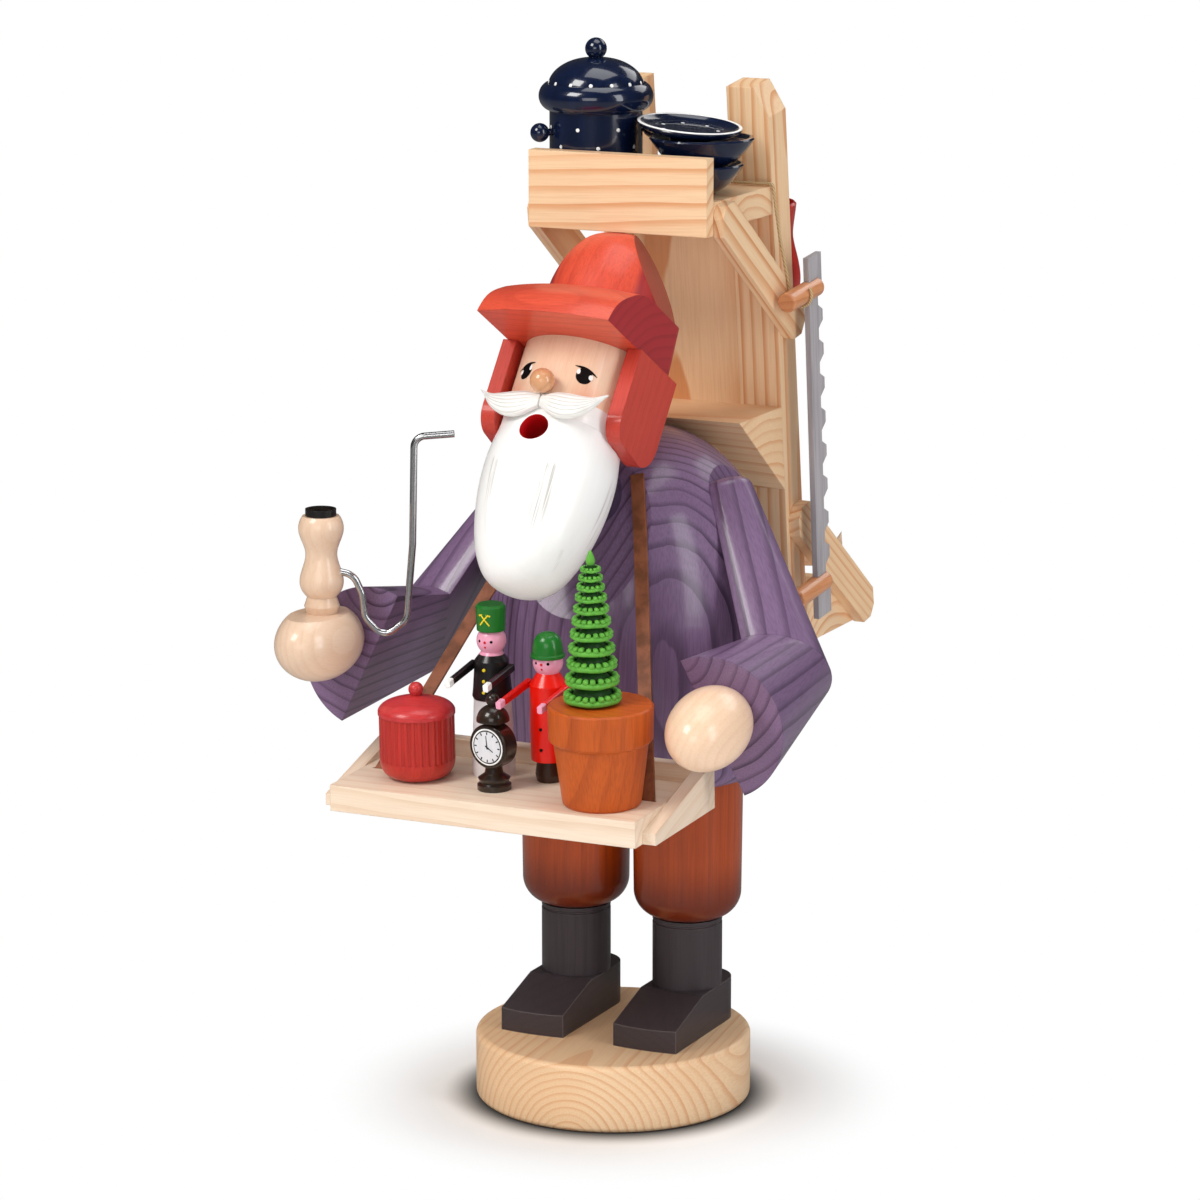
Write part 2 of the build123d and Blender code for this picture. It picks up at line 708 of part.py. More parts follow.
# Pipe
def pipe():
    at = Pos(bowl_foot())
    side = Spline(*[rz(r, z) for r, z in bowl_sizes[2:]])
    foot = Polyline(rz(0, 0), *[rz(r, z) for r, z in bowl_sizes[:3]])
    high = bowl_sizes[-1][1]
    rim = bowl_sizes[-1][0]
    top = Polyline(rz(rim, high), rz(bowl_bore_r, high), rz(bowl_bore_r, high - bowl_bore_h),
                   rz(0, high - bowl_bore_h), rz(0, 0))
    bowl = turned(foot, side, top)
    way = Vector(cos(radians(wire_yaw)), sin(radians(wire_yaw)))
    start = wire_points[0]
    line = [(bowl_sizes[3][0] - wire_in_bowl, start[1] + 1.5)] + wire_points + [
        (wire_points[-1][0] + 1.0, wire_top_h), (wire_tip, wire_top_h + 1.5)]
    points = [Vector(way.X * s, way.Y * s, z) for s, z in line]
    radii = []
    for a, b, c in zip(points, points[1:], points[2:]):
        half_turn = radians((b - a).get_angle(c - b)) / 2
        room = 0.45 * min((b - a).length, (c - b).length) / tan(half_turn)
        radii.append(min(room, wire_bend_r if b is not points[-2] else wire_knee_r))
    path = FilletPolyline(*points, radius=radii)
    wire = sweep(Plane(origin=path @ 0, z_dir=path % 0) * Circle(wire_r), path)
    socket = rod(points[0] - (points[1] - points[0]).normalized() * glue_gap, points[1], wire_r + glue_gap)
    lid = turned(Polyline(rz(cap_r, high), rz(cap_r, high + cap_h), rz(bowl_bore_r, high + cap_h),
                          rz(bowl_bore_r, high), close=True))
    print("pipe wire radii", [round(r, 1) for r in radii])
    return at * (bowl - socket), at * lid, at * wire


# Tray
def tray(coat_front):
    place = tray_place()
    floor = slab(-tray_half_w, tray_half_w, 0, tray_depth, 0, tray_floor_t)
    wide = tray_half_w + tray_board_t
    back = slab(-wide, wide, tray_depth, tray_depth + tray_board_t, 0, tray_board_h)
    outline = [(tray_side_back, tray_side_tip), (tray_side_back, 0), (tray_depth, 0),
               (tray_depth, tray_board_h)]
    side = board(outline, tray_half_w, wide)
    slot = strap(strap_slot_room)
    floor = place * floor - slot - mirrored(slot)
    dowels = []
    for x in (-tray_dowel_x, tray_dowel_x):
        z = tray_low + tray_dowel_up
        tip = -tray_front + tray_depth + tray_board_t - tray_dowel_in
        root = coat_front(x) + tray_dowel_in
        dowels.append((rod((x, tip, z), (x, root, z), tray_dowel_r),
                       rod((x, tip - glue_gap, z), (x, root + glue_gap, z), tray_dowel_r + glue_gap)))
    back = place * back
    for pin, hole in dowels:
        back -= hole
    keep("tray_floor", floor)
    keep("tray_back", back)
    keep("tray_sides", place * side, place * mirrored(side))
    keep("tray_dowels", *[pin for pin, hole in dowels])
    return [hole for pin, hole in dowels]


def throat_point(x, z):
    lean = radians(collar_tilt)
    y = collar_y + (z - collar_z) * tan(lean)
    return Vector(x, y, z) + throat_plane().z_dir * (strap_t / 2 + seat_gap / 2)


def strap_run(start, end, room):
    way = (end - start).normalized()
    side = Vector(1, 0, 0)
    side = (side - way * side.dot(way)).normalized()
    plane = Plane(origin=start, x_dir=side, z_dir=way)
    return plane * extrude(Rectangle(strap_w + room * 2, strap_t + room * 2), (end - start).length)


def strap(room=0.0):
    # Flat on the throat first, then free and straight to the tray and through it
    top = throat_point(strap_top_x, strap_top_z)
    knee = throat_point(strap_knee_x, strap_knee_z)
    slot = (tray_place() * Pos(strap_slot_x, strap_slot_in, tray_floor_t / 2)).position
    way = (slot - knee).normalized()
    upper = strap_run(top, knee + (knee - top).normalized() * seat_gap, room)
    lower = strap_run(knee - way * seat_gap, slot + way * (strap_tail + room * 20), room)
    return upper + lower


# Goods on the tray
def on_tray(spot):
    return tray_place() * Pos(spot[0], spot[1], tray_floor_t)


def jar():
    start = rz(jar_foot_r, 0)
    shoulder = rz(jar_r, jar_round)
    belly = Spline(start, shoulder, tangents=[(1, 0, 0.15), (0, 0, 1)])
    inner = jar_r - jar_wall
    inside = [rz(jar_r, jar_h), rz(inner, jar_h), rz(inner, jar_round), rz(jar_foot_r, jar_floor),
              rz(0, jar_floor)]
    body = turned(belly, Polyline(shoulder, *inside, rz(0, 0), start))
    flute = Pos(jar_r + jar_flute_r * 0.45, 0, jar_round) * extrude(Circle(jar_flute_r), jar_h)
    step = 360 / jar_flutes
    return body - [Rot(0, 0, i * step) * flute for i in range(jar_flutes)]


def jar_cover():
    dome = Spline(rz(lid_rim_r, lid_rim_t), rz(lid_rim_r * 0.62, lid_rim_t + lid_dome_h * 0.66),
                  rz(lid_knob_r * 0.6, lid_rim_t + lid_dome_h), tangents=[(-0.4, 0, 1), (-1, 0, 0.25)])
    plug = jar_r - jar_wall - slip_gap
    top = lid_rim_t + lid_dome_h
    under = [rz(0, top), rz(0, -lid_plug_h), rz(plug, -lid_plug_h), rz(plug, 0), rz(lid_rim_r, 0)]
    lid = turned(dome, Polyline(dome @ 1, *under, rz(lid_rim_r, lid_rim_t)))
    return lid + Pos(0, 0, top + lid_knob_r * 0.75) * Sphere(lid_knob_r)


def toy_body(sizes, head_r, head_z, hat_r, hat_z, hat_h, brim_out):
    body = turned_outline(sizes)
    head = Pos(0, 0, head_z) * Sphere(head_r)
    hat = [(hat_r + brim_out, hat_z - 1.2), (hat_r + brim_out, hat_z), (hat_r, hat_z + 0.4)]
    if brim_out:
        cap = turned_smooth([(hat_r, hat_z), (0, hat_z + hat_h)], (0, 0, 1), (-1, 0, 0))
        return body + head + turned_outline(hat) + cap
    crown_top = [(hat_r, hat_z), (hat_r * 1.06, hat_z + hat_h - 1.0), (hat_r * 0.9, hat_z + hat_h)]
    return body + head + turned_outline(crown_top)


def toy_arms(spot, shoulder_x, hand_x, length, z):
    # Straight arms held out to the front and a little apart
    arms = []
    for way in (-1, 1):
        root = (way * (shoulder_x + toy_arm_r + glue_gap), toy_arm_r, z)
        tip = (way * (hand_x + toy_arm_r), -length, z - toy_arm_drop)
        arm_rod = rod(root, tip, toy_arm_r)
        arm_rod = fillet(arm_rod.edges().filter_by(GeomType.CIRCLE), toy_arm_r * 0.6)
        arms.append(on_tray(spot) * arm_rod)
    return arms


def clock():
    foot = turned_outline(clock_sizes)
    middle = Pos(0, 0, clock_drum_z)
    drum = middle * Rot(90, 0, 0) * Cylinder(clock_drum_r, clock_drum_t)
    drum = fillet(drum.edges().filter_by(GeomType.CIRCLE), 1.0)
    neck_low = clock_drum_z + clock_drum_r - 1.5
    neck_top = neck_low + clock_neck_h
    finial = clock_top_z - clock_finial_r
    neck_post = turned_outline([(clock_neck_r, neck_low), (clock_neck_r, neck_top + 1.0)])
    upright = (Align.CENTER, Align.CENTER, Align.MIN)
    dome = Pos(0, 0, neck_top) * Sphere(clock_dome_r, arc_size1=0, align=upright)
    knob = Pos(0, 0, finial) * Sphere(clock_finial_r)
    return Rot(0, 0, clock_yaw) * (foot + drum + neck_post + dome + knob)


def flower_pot():
    low = pot_h - pot_rim_h
    slope = (pot_top_r - pot_foot_r) / low
    points = [(0, 0), (pot_foot_r - 0.8, 0), (pot_foot_r, 1.0), (pot_foot_r + slope * (low - 1.0), low - 1.0),
              (pot_rim_r - 0.5, low), (pot_rim_r, low + 0.8), (pot_rim_r + 0.3, pot_h - 0.8),
              (pot_rim_r - 0.5, pot_h), (0, pot_h)]
    return turned(Polyline(*[rz(r, z) for r, z in points], close=True))


def ring_tree():
    # Rings get smaller and closer towards the tip
    span = tree_h - tree_tip
    edge = [(tree_trunk_r, 0)]
    for i in range(tree_rings):
        share = i / tree_rings
        z = span * (share + 0.14 * share * (1 - share))
        after = (i + 1) / tree_rings
        step = span * (after + 0.14 * after * (1 - after)) - z
        r = tree_low_r + (tree_top_r - tree_low_r) * share
        neck_r = max(r * 0.62, tree_trunk_r)
        edge += [(neck_r, z + step * 0.12), (r * 0.95, z + step * 0.2), (r, z + step * 0.45),
                 (r * 0.93, z + step * 0.72), (neck_r, z + step * 0.82)]
    edge += [(1.5, span + 1.0), (1.2, tree_h - 1.5), (0.5, tree_h)]
    return turned_outline(edge)


# Pack frame
def pack_place():
    return Location((0, post_front_y, post_low_z), (pack_lean, 0, 0))


def pack():
    lean = radians(pack_lean)
    height = (post_top_z - post_low_z) / cos(lean)
    inner = pack_half_w - post_w
    place = pack_place()
    post = slab(inner, pack_half_w, 0, post_d, 0, height)
    chamfer = Plane(origin=(pack_half_w, 0, height - post_chamfer_h), x_dir=(0, 1, 0),
                    z_dir=(post_chamfer_h, 0, post_chamfer_w))
    post = place * (post - beyond(chamfer))
    keep("post_left", post)
    keep("post_right", mirrored(post))
    panel_h = (shelf_z - shelf_t - post_low_z) / cos(lean)
    panel = place * slab(-inner, inner, 0, panel_t, 0, panel_h)
    under_shelf = Plane(origin=(0, 0, shelf_z - shelf_t))
    keep("back_panel", panel - beyond(under_shelf))
    front = shelf_board_y + shelf_board_t
    low = shelf_z - shelf_t
    half = pack_half_w
    shelf_outline = [(front, low), (post_y(low), low), (post_y(shelf_z), shelf_z), (front, shelf_z)]
    keep("top_shelf", board(shelf_outline, -half, half))
    keep("shelf_front", slab(-shelf_board_half, shelf_board_half, shelf_board_y, front,
                               shelf_board_low, shelf_board_top))
    wedge = [(wedge_front_y, wedge_z), (post_y(wedge_z), wedge_z), (post_y(wedge_low_z), wedge_low_z)]
    wedge = board(wedge, -half, half)
    depth = post_d / cos(lean)
    low = rear_shelf_z - rear_shelf_t
    rear = [(post_y(low) + depth, low), (rear_shelf_y, low), (rear_shelf_y, rear_shelf_z),
            (post_y(rear_shelf_z) + depth, rear_shelf_z)]
    keep("rear_shelf", board(rear, -half, half))
    braces = [brace(at) for at in (upper_brace_at, lower_brace_at)]
    keep("braces", *braces, *[mirrored(b) for b in braces])
    pins = []
    slope = wedge_plane()
    along = hypot(post_y(wedge_low_z) - wedge_front_y, wedge_z - wedge_low_z)
    for x in (-pack_dowel_x, pack_dowel_x):
        at = slope * Pos(x, along * 0.45, 0)
        pins.append((at * Cylinder(pack_dowel_r, pack_dowel_in * 2),
                     at * Cylinder(pack_dowel_r + glue_gap, (pack_dowel_in + glue_gap) * 2)))
    for pin, hole in pins:
        wedge -= hole
    keep("middle_shelf", wedge)
    keep("pack_dowels", *[pin for pin, hole in pins])
    return [hole for pin, hole in pins]


def brace(at):
    flat = chamfer(Rectangle(brace_l, brace_w).vertices(), brace_trim)
    plane = Plane(origin=(pack_half_w, at[0], at[1]), x_dir=(0, 1, 0), z_dir=(1, 0, 0))
    return plane * Rot(0, 0, brace_slope) * extrude(flat, brace_t)


def saw():
    # Blade in its own frame: y back from the plain edge, z up
    place = Location((pack_half_w + brace_t + saw_gap + saw_handle_r, saw_low_y, saw_low_z), (saw_lean, 0, 0))
    pitch = saw_tooth_pitch
    flank = saw_tooth_depth * 0.6
    first = (saw_l - (saw_teeth - 1) * pitch) / 2
    edge = [(0, 0), (saw_w, 0)]
    for i in range(saw_teeth):
        z = first + i * pitch
        gullet = saw_w - saw_tooth_depth
        edge += [(saw_w, z - pitch * 0.16 - flank), (gullet, z - pitch * 0.16), (gullet, z + pitch * 0.16),
                 (saw_w, z + pitch * 0.16 + flank)]
    edge += [(saw_w, saw_l), (0, saw_l)]
    blade = board(edge, -saw_t / 2, saw_t / 2)
    handles = []
    for z in saw_handle_at:
        handle = rod((0, saw_handle_in - saw_handle_l, z), (0, saw_handle_in, z), saw_handle_r)
        handle = fillet(handle.edges().filter_by(GeomType.CIRCLE), 1.0)
        half_slit = saw_t / 2 + glue_gap
        slit = slab(-half_slit, half_slit, -glue_gap, saw_handle_l, z - saw_l, z + saw_l)
        handles.append(place * (handle - slit))
    keep("saw_blade", place * blade)
    keep("saw_handles", *handles)
    top = saw_handle_at[1]
    return (place * Pos(0, -saw_handle_l * 0.2, top)).position


def twine(handle):
    # One loop round the saw's handle, then up the post and along the shelf
    turns = [radians(50 + 40 * i) for i in range(7)]
    ring_r = (saw_handle_r + twine_r + glue_gap) / cos(radians(20))
    loop = [handle + Vector(ring_r * sin(a), 0, ring_r * cos(a)) for a in turns]
    corner_y = post_y(shelf_z) - twine_off
    side_x = pack_half_w + twine_off
    top_z = shelf_z + twine_off
    middle_z = (handle.Z + top_z) / 2
    climb = [Vector(side_x + 2.6, post_y(middle_z) - 2.0, middle_z), Vector(side_x, corner_y - 0.5, top_z)]
    turn = Vector(pack_half_w - twine_corner_in, corner_y - 2.0, top_z)
    rest = [turn, Vector(twine_shelf_x, corner_y - 1.0, top_z)]
    points = loop + climb + rest
    radii = []
    for i in range(1, len(points) - 1):
        before = points[i] - points[i - 1]
        after = points[i + 1] - points[i]
        room = 0.45 * min(before.length, after.length) / tan(radians(before.get_angle(after)) / 2)
        radii.append(room if i < len(loop) else min(room, twine_bend_r))
    print("twine radii", [round(r, 1) for r in radii])
    path = FilletPolyline(*points, radius=radii)
    return sweep(Plane(origin=path @ 0, z_dir=path % 0) * Circle(twine_r), path)


def jug():
    # Turned jug glued to the back of a post by a narrow flat
    side = Spline(rz(jug_r * 0.62, 0), rz(jug_r, jug_h * 0.28), rz(jug_waist_r, jug_h * 0.62),
                  rz(jug_mouth_r, jug_h - 1.0), tangents=[(1, 0, 0.7), (0.15, 0, 1)])
    mouth = jug_mouth_r - 1.6
    rest = Polyline(side @ 1, rz(jug_mouth_r - 0.8, jug_h), rz(mouth, jug_h), rz(mouth, jug_h - jug_well),
                    rz(0, jug_h - jug_well), rz(0, 0), side @ 0)
    body = turned(side, rest)
    body -= slab(-jug_r, jug_r, -jug_r * 2, -jug_r + jug_flat, 0, jug_h)
    return pack_place() * Pos(jug_x, post_d + jug_r - jug_flat, jug_up) * body


def toy_cat():
    # Flat-sawn standing cat, seen from the side
    k = cat_h
    half = cat_l / 2
    outline = [(-half, 0), (-half + 3, 0), (-half + 4, k * 0.3), (half - 6, k * 0.3), (half - 5, 0),
               (half - 2, 0), (half - 1.5, k * 0.4), (half, k * 0.52), (half, k * 0.72),
               (half - 0.5, k * 0.98), (half - 3, k * 0.82), (half - 5.5, k * 0.82), (half - 8, k),
               (half - 8.2, k * 0.66), (half - 9, k * 0.56), (-half + 1, k * 0.56),
               (-half - 1, k * 0.9), (-half - 2.6, k * 0.86), (-half - 1.2, k * 0.45)]
    flat = make_face(Polyline(*[(x, 0, z) for x, z in outline], close=True))
    body = extrude(flat, cat_t / 2, (0, 1, 0), both=True)
    return Pos(cat_place[0], cat_place[1], rear_shelf_z) * Rot(0, 0, cat_yaw) * body


# Pots and plates
def tureen():
    rim_z = tureen_h
    top = rim_z + tureen_rim_h
    bulge = ThreePointArc(rz(tureen_r, rim_z), rz(tureen_rim_r, rim_z + tureen_rim_h / 2),
                          rz(tureen_lid_r + 1.0, top))
    inner = tureen_r - tureen_wall
    seat = top - tureen_lid_seat
    lid_room = tureen_lid_r + slip_gap
    inside = [rz(lid_room, top), rz(lid_room, seat), rz(inner, seat), rz(inner, tureen_floor)]
    rest = Polyline(rz(tureen_lid_r + 1.0, top), *inside, rz(0, tureen_floor), rz(0, 0),
                    rz(tureen_r - 1.2, 0), rz(tureen_r, 1.2), rz(tureen_r, rim_z))
    pot = turned(bulge, rest)
    ball_x = tureen_r + tureen_neck_l + tureen_handle_r
    handles = []
    for turn in (tureen_yaw, tureen_yaw + 180):
        peg_in = (tureen_r - tureen_wall * 0.7, 0, tureen_handle_z)
        knob = Pos(ball_x, 0, tureen_handle_z) * Sphere(tureen_handle_r)
        knob += rod(peg_in, (ball_x, 0, tureen_handle_z), tureen_neck_r)
        hole_x = tureen_r - tureen_wall * 0.7 - glue_gap
        hole = rod((hole_x, 0, tureen_handle_z), (ball_x, 0, tureen_handle_z), tureen_neck_r + glue_gap)
        pot -= Rot(0, 0, turn) * hole
        handles.append(Rot(0, 0, turn) * knob)
    spread = tureen_lid_r
    dome = Spline(rz(spread, 1.5), rz(spread * 0.72, tureen_lid_h * 0.72),
                  rz(tureen_knob_r * 0.5, tureen_lid_h), tangents=[(-0.25, 0, 1), (-1, 0, 0.05)])
    plug = inner - slip_gap
    under = [rz(0, tureen_lid_h), rz(0, -tureen_plug_h), rz(plug, -tureen_plug_h), rz(plug, 0), rz(spread, 0)]
    lid = turned(dome, Polyline(dome @ 1, *under, rz(spread, 1.5)))
    lid += Pos(0, 0, tureen_lid_h + tureen_knob_r * 0.8) * Sphere(tureen_knob_r)
    place = Pos(tureen_place[0], tureen_place[1], shelf_z)
    keep("tureen_pot", place * pot)
    keep("tureen_handles", *[place * h for h in handles])
    keep("tureen_lid", place * Pos(0, 0, seat) * lid)


def saucer(r, foot_r, h, dip_r):
    side = Spline(rz(foot_r, 1.0), rz((r + foot_r) / 2 + 1.0, h * 0.45), rz(r, h - 0.8),
                  tangents=[(0.9, 0, 0.4), (0.7, 0, 1)])
    hollow = Spline(rz(r - bowl_lip, h), rz(dip_r, h - bowl_dip), tangents=[(-0.6, 0, -0.6), (-1, 0, 0)])
    low = Polyline(rz(foot_r, 1.0), rz(foot_r - 0.6, 0), rz(0, 0), rz(0, h - bowl_dip),
                   rz(dip_r, h - bowl_dip))
    lip = Polyline(rz(r, h - 0.8), rz(r - 0.5, h), rz(r - bowl_lip, h))
    return turned(side, hollow, low, lip)


def bowls():
    low = Pos(bowl_place[0], bowl_place[1], shelf_z) * saucer(bowl_r, bowl_foot_r, bowl_h, bowl_dip_r)
    step = bowl_h - bowl_dip
    second_at = Pos(bowl_place[0] + bowl_shift[0], bowl_place[1] + bowl_shift[1], shelf_z + step)
    second = second_at * saucer(bowl_r, bowl_foot_r, bowl_h, bowl_dip_r)
    top = Pos(bowl_place[0] + plate_shift[0], bowl_place[1] + plate_shift[1], shelf_z + step * 2)
    top *= Rot(0, 0, plate_yaw) * Rot(plate_tilt[0], plate_tilt[1], 0)
    plate = top * saucer(plate_r, plate_foot_r, plate_h, plate_r - 8.0)
    return low, second, plate - second


hip_level = legs_and_base()
coat_body = coat(hip_level)
arm_cuts = []
arm_pins = []
for side in ("left", "right"):
    upper, fore, pin, wrist_pin, pin_hole = arm(side)
    keep(f"upper_arm_{side}", upper)
    keep(f"forearm_{side}", fore)
    keep(f"hand_{side}", hand(side))
    arm_pins += [pin, wrist_pin]
    arm_cuts.append(pin_hole)
keep("arm_dowels", *arm_pins)

skull = head_plane().location
face, beard, nose = head_pieces()
bore = smoke_bore()
keep("head", skull * face)
keep("beard", skull * (beard - bore))
keep("nose", skull * nose)
keep("moustache", *[skull * (half - face - beard - nose_room()) for half in moustache()])
keep("neck_block", skull * (neck() - bore) - beyond(throat_plane().offset(0)).mirror(throat_plane()))
keep("hat_brim", skull * brim())
keep("hat_crown", skull * crown() - beyond(Plane(origin=(0, 0, shelf_board_low - seat_gap))))
flap = ear_flap()
keep("ear_flaps", skull * flap, skull * mirrored(flap))


def coat_front(x):
    return body_y - sqrt(coat_points[0][0] ** 2 - x ** 2)


tray_cuts = tray(coat_front)
pack_cuts = pack()
for cut in arm_cuts + tray_cuts + pack_cuts + [skull * bore]:
    coat_body -= cut
keep("coat_body", coat_body)

bowl, cap, stem = pipe()
keep("pipe_bowl", bowl)
keep("pipe_cap", cap)
keep("pipe_stem", stem)

band = strap()
keep("strap_left", band)
keep("strap_right", mirrored(band))

keep("jar_body", on_tray(jar_place) * jar())
keep("jar_lid", on_tray(jar_place) * Pos(0, 0, jar_h) * jar_cover())
miner = toy_body(miner_sizes, miner_head_r, miner_head_z, miner_hat_r, miner_hat_z, miner_hat_h, 0)
keep("toy_miner", on_tray(miner_place) * miner)
toyman = toy_body(toyman_sizes, toyman_head_r, toyman_head_z, toyman_hat_r, toyman_hat_z, toyman_hat_h,
                  toyman_hat_edge)
keep("toy_man", on_tray(toyman_place) * toyman)
miner_arms = toy_arms(miner_place, miner_shoulder_x, miner_hand_x, miner_arm_l, miner_arm_z)
toyman_arms = toy_arms(toyman_place, toyman_shoulder_x, toyman_hand_x, toyman_arm_l, toyman_arm_z)
keep("toy_arms", *miner_arms, *toyman_arms)
keep("toy_clock", on_tray(clock_place) * clock())
keep("flower_pot", on_tray(pot_place) * flower_pot())
keep("ring_tree", on_tray(pot_place) * Pos(tree_shift, 0, pot_h) * ring_tree())

handle_top = saw()
keep("twine", twine(handle_top))
keep("red_jug", jug())
keep("toy_cat", toy_cat())
tureen()
keep("enamel_bowls", *bowls())

for name, shape in nodes.items():
    export_step(shape, f"parts/{name}.step")
print(len(nodes), "nodes")
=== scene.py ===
import bpy
import random
from math import cos, pi, radians, sin, sqrt
from mathutils import Matrix, Vector


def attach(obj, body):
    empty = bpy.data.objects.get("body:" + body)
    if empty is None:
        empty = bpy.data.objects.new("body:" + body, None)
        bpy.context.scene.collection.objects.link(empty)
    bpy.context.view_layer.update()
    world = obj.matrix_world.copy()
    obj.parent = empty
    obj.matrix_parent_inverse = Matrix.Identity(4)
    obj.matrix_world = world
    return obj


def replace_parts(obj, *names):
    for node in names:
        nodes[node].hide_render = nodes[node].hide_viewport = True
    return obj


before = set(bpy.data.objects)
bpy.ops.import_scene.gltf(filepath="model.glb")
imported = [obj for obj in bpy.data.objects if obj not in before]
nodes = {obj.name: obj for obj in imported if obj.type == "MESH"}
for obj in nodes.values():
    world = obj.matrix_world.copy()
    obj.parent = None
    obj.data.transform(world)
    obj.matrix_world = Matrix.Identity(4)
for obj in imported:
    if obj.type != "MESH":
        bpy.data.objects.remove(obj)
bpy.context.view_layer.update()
mm = 0.001

# Frames of the head and of the tray, as the solids have them
headFrame = Matrix.Translation((0, -0.0444, 0.3122)) @ Matrix.Rotation(radians(-38), 4, "X")
trayFrame = Matrix.Translation((0, -0.1286, 0.1517)) @ Matrix.Rotation(radians(2), 4, "X")
trayFloor = 11.3


def inHead(x, y, z):
    return headFrame @ (Vector((x, y, z)) * mm)


def onTray(spot, x, y, z):
    return trayFrame @ (Vector((spot[0] + x, spot[1] + y, trayFloor + z)) * mm)


def rgb(code):
    # Display colour as a linear one
    parts = [int(code[i:i + 2], 16) / 255 for i in (0, 2, 4)]
    return [c / 12.92 if c <= 0.04045 else ((c + 0.055) / 1.055) ** 2.4 for c in parts] + [1.0]


# Shader helpers
def wire(tree, socket, value):
    if isinstance(value, bpy.types.NodeSocket):
        tree.links.new(value, socket)
    else:
        socket.default_value = value


def add(tree, kind, inputs=None, **attrs):
    made = tree.nodes.new("ShaderNode" + kind)
    for key, value in attrs.items():
        setattr(made, key, value)
    for key, value in (inputs or {}).items():
        wire(tree, made.inputs[key], value)
    return made


def calc(tree, operation, a, b=0.0, clamp=False):
    return add(tree, "Math", {0: a, 1: b}, operation=operation, use_clamp=clamp).outputs[0]


def mixColour(tree, factor, a, b, blend="MIX"):
    made = add(tree, "Mix", {0: factor, 6: a, 7: b}, data_type="RGBA", blend_type=blend)
    return made.outputs[2]


def ramp(tree, value, low, high, smooth=True):
    made = add(tree, "MapRange", {0: value, 1: low, 2: high}, clamp=True)
    made.interpolation_type = "SMOOTHSTEP" if smooth else "LINEAR"
    return made.outputs[0]


def newGroup(name, inputs, outputs):
    tree = bpy.data.node_groups.new(name, "ShaderNodeTree")
    for label, kind in inputs:
        tree.interface.new_socket(name=label, in_out="INPUT", socket_type="NodeSocket" + kind)
    for label, kind in outputs:
        tree.interface.new_socket(name=label, in_out="OUTPUT", socket_type="NodeSocket" + kind)
    start = tree.nodes.new("NodeGroupInput")
    end = tree.nodes.new("NodeGroupOutput")
    return tree, start.outputs, end.inputs


def ringGroup():
    # Growth rings round the z axis of the given position, with fibres along it
    tree, i, o = newGroup("growthRings", [("Position", "Vector"), ("Spacing", "Float"), ("Warp", "Float"),
                                          ("Line", "Float"), ("Seed", "Float")],
                          [("Ring", "Float"), ("Tone", "Float"), ("Fibre", "Float"), ("Pore", "Float")])
    shift = add(tree, "CombineXYZ", {0: i["Seed"], 1: i["Seed"], 2: i["Seed"]}).outputs[0]
    flat = add(tree, "VectorMath", {0: i["Position"], 1: (1, 1, 0)}, operation="MULTIPLY").outputs[0]
    reach = add(tree, "VectorMath", {0: flat}, operation="LENGTH").outputs["Value"]

    def cloud(scale, detail=2.0):
        stretched = add(tree, "VectorMath", {0: i["Position"], 1: scale}, operation="MULTIPLY").outputs[0]
        moved = add(tree, "VectorMath", {0: stretched, 1: shift}, operation="ADD").outputs[0]
        return add(tree, "TexNoise", {"Vector": moved, "Scale": 1.0, "Detail": detail}).outputs[0]

    wave = calc(tree, "MULTIPLY", calc(tree, "SUBTRACT", cloud((14, 14, 5)), 0.5), i["Warp"])
    ripple = calc(tree, "MULTIPLY", calc(tree, "SUBTRACT", cloud((70, 70, 14)), 0.5),
                  calc(tree, "MULTIPLY", i["Warp"], 0.22))
    turn = calc(tree, "DIVIDE", calc(tree, "ADD", reach, calc(tree, "ADD", wave, ripple)), i["Spacing"])
    part = calc(tree, "FRACT", turn)
    count = calc(tree, "FLOOR", turn)
    luck = calc(tree, "ADD", count, i["Seed"])
    chance = add(tree, "TexWhiteNoise", {"W": luck}, noise_dimensions="1D").outputs[0]
    begin = calc(tree, "SUBTRACT", 0.96, i["Line"])
    rise = ramp(tree, calc(tree, "DIVIDE", calc(tree, "SUBTRACT", part, begin), i["Line"]), 0.0, 1.0)
    fall = ramp(tree, part, 1.0, 0.965)
    strength = calc(tree, "ADD", calc(tree, "MULTIPLY", chance, 0.5), 0.5)
    wire(tree, o["Ring"], calc(tree, "MULTIPLY", calc(tree, "MULTIPLY", rise, fall), strength))
    wire(tree, o["Tone"], cloud((26, 26, 6)))
    wire(tree, o["Fibre"], cloud((1500, 1500, 45), 3.0))
    wire(tree, o["Pore"], ramp(tree, cloud((2600, 2600, 160), 0.0), 0.66, 0.74))
    return tree


def edgeGroup():
    # Rounded normal for eased edges, and a mask of where it differs from the flat one
    tree, i, o = newGroup("easedEdges", [("Radius", "Float")], [("Normal", "Vector"), ("Edge", "Float")])
    soft = add(tree, "Bevel", {"Radius": i["Radius"]}, samples=6).outputs[0]
    hard = add(tree, "NewGeometry").outputs["Normal"]
    same = add(tree, "VectorMath", {0: soft, 1: hard}, operation="DOT_PRODUCT").outputs["Value"]
    wire(tree, o["Normal"], soft)
    wire(tree, o["Edge"], ramp(tree, same, 0.995, 0.86))
    return tree


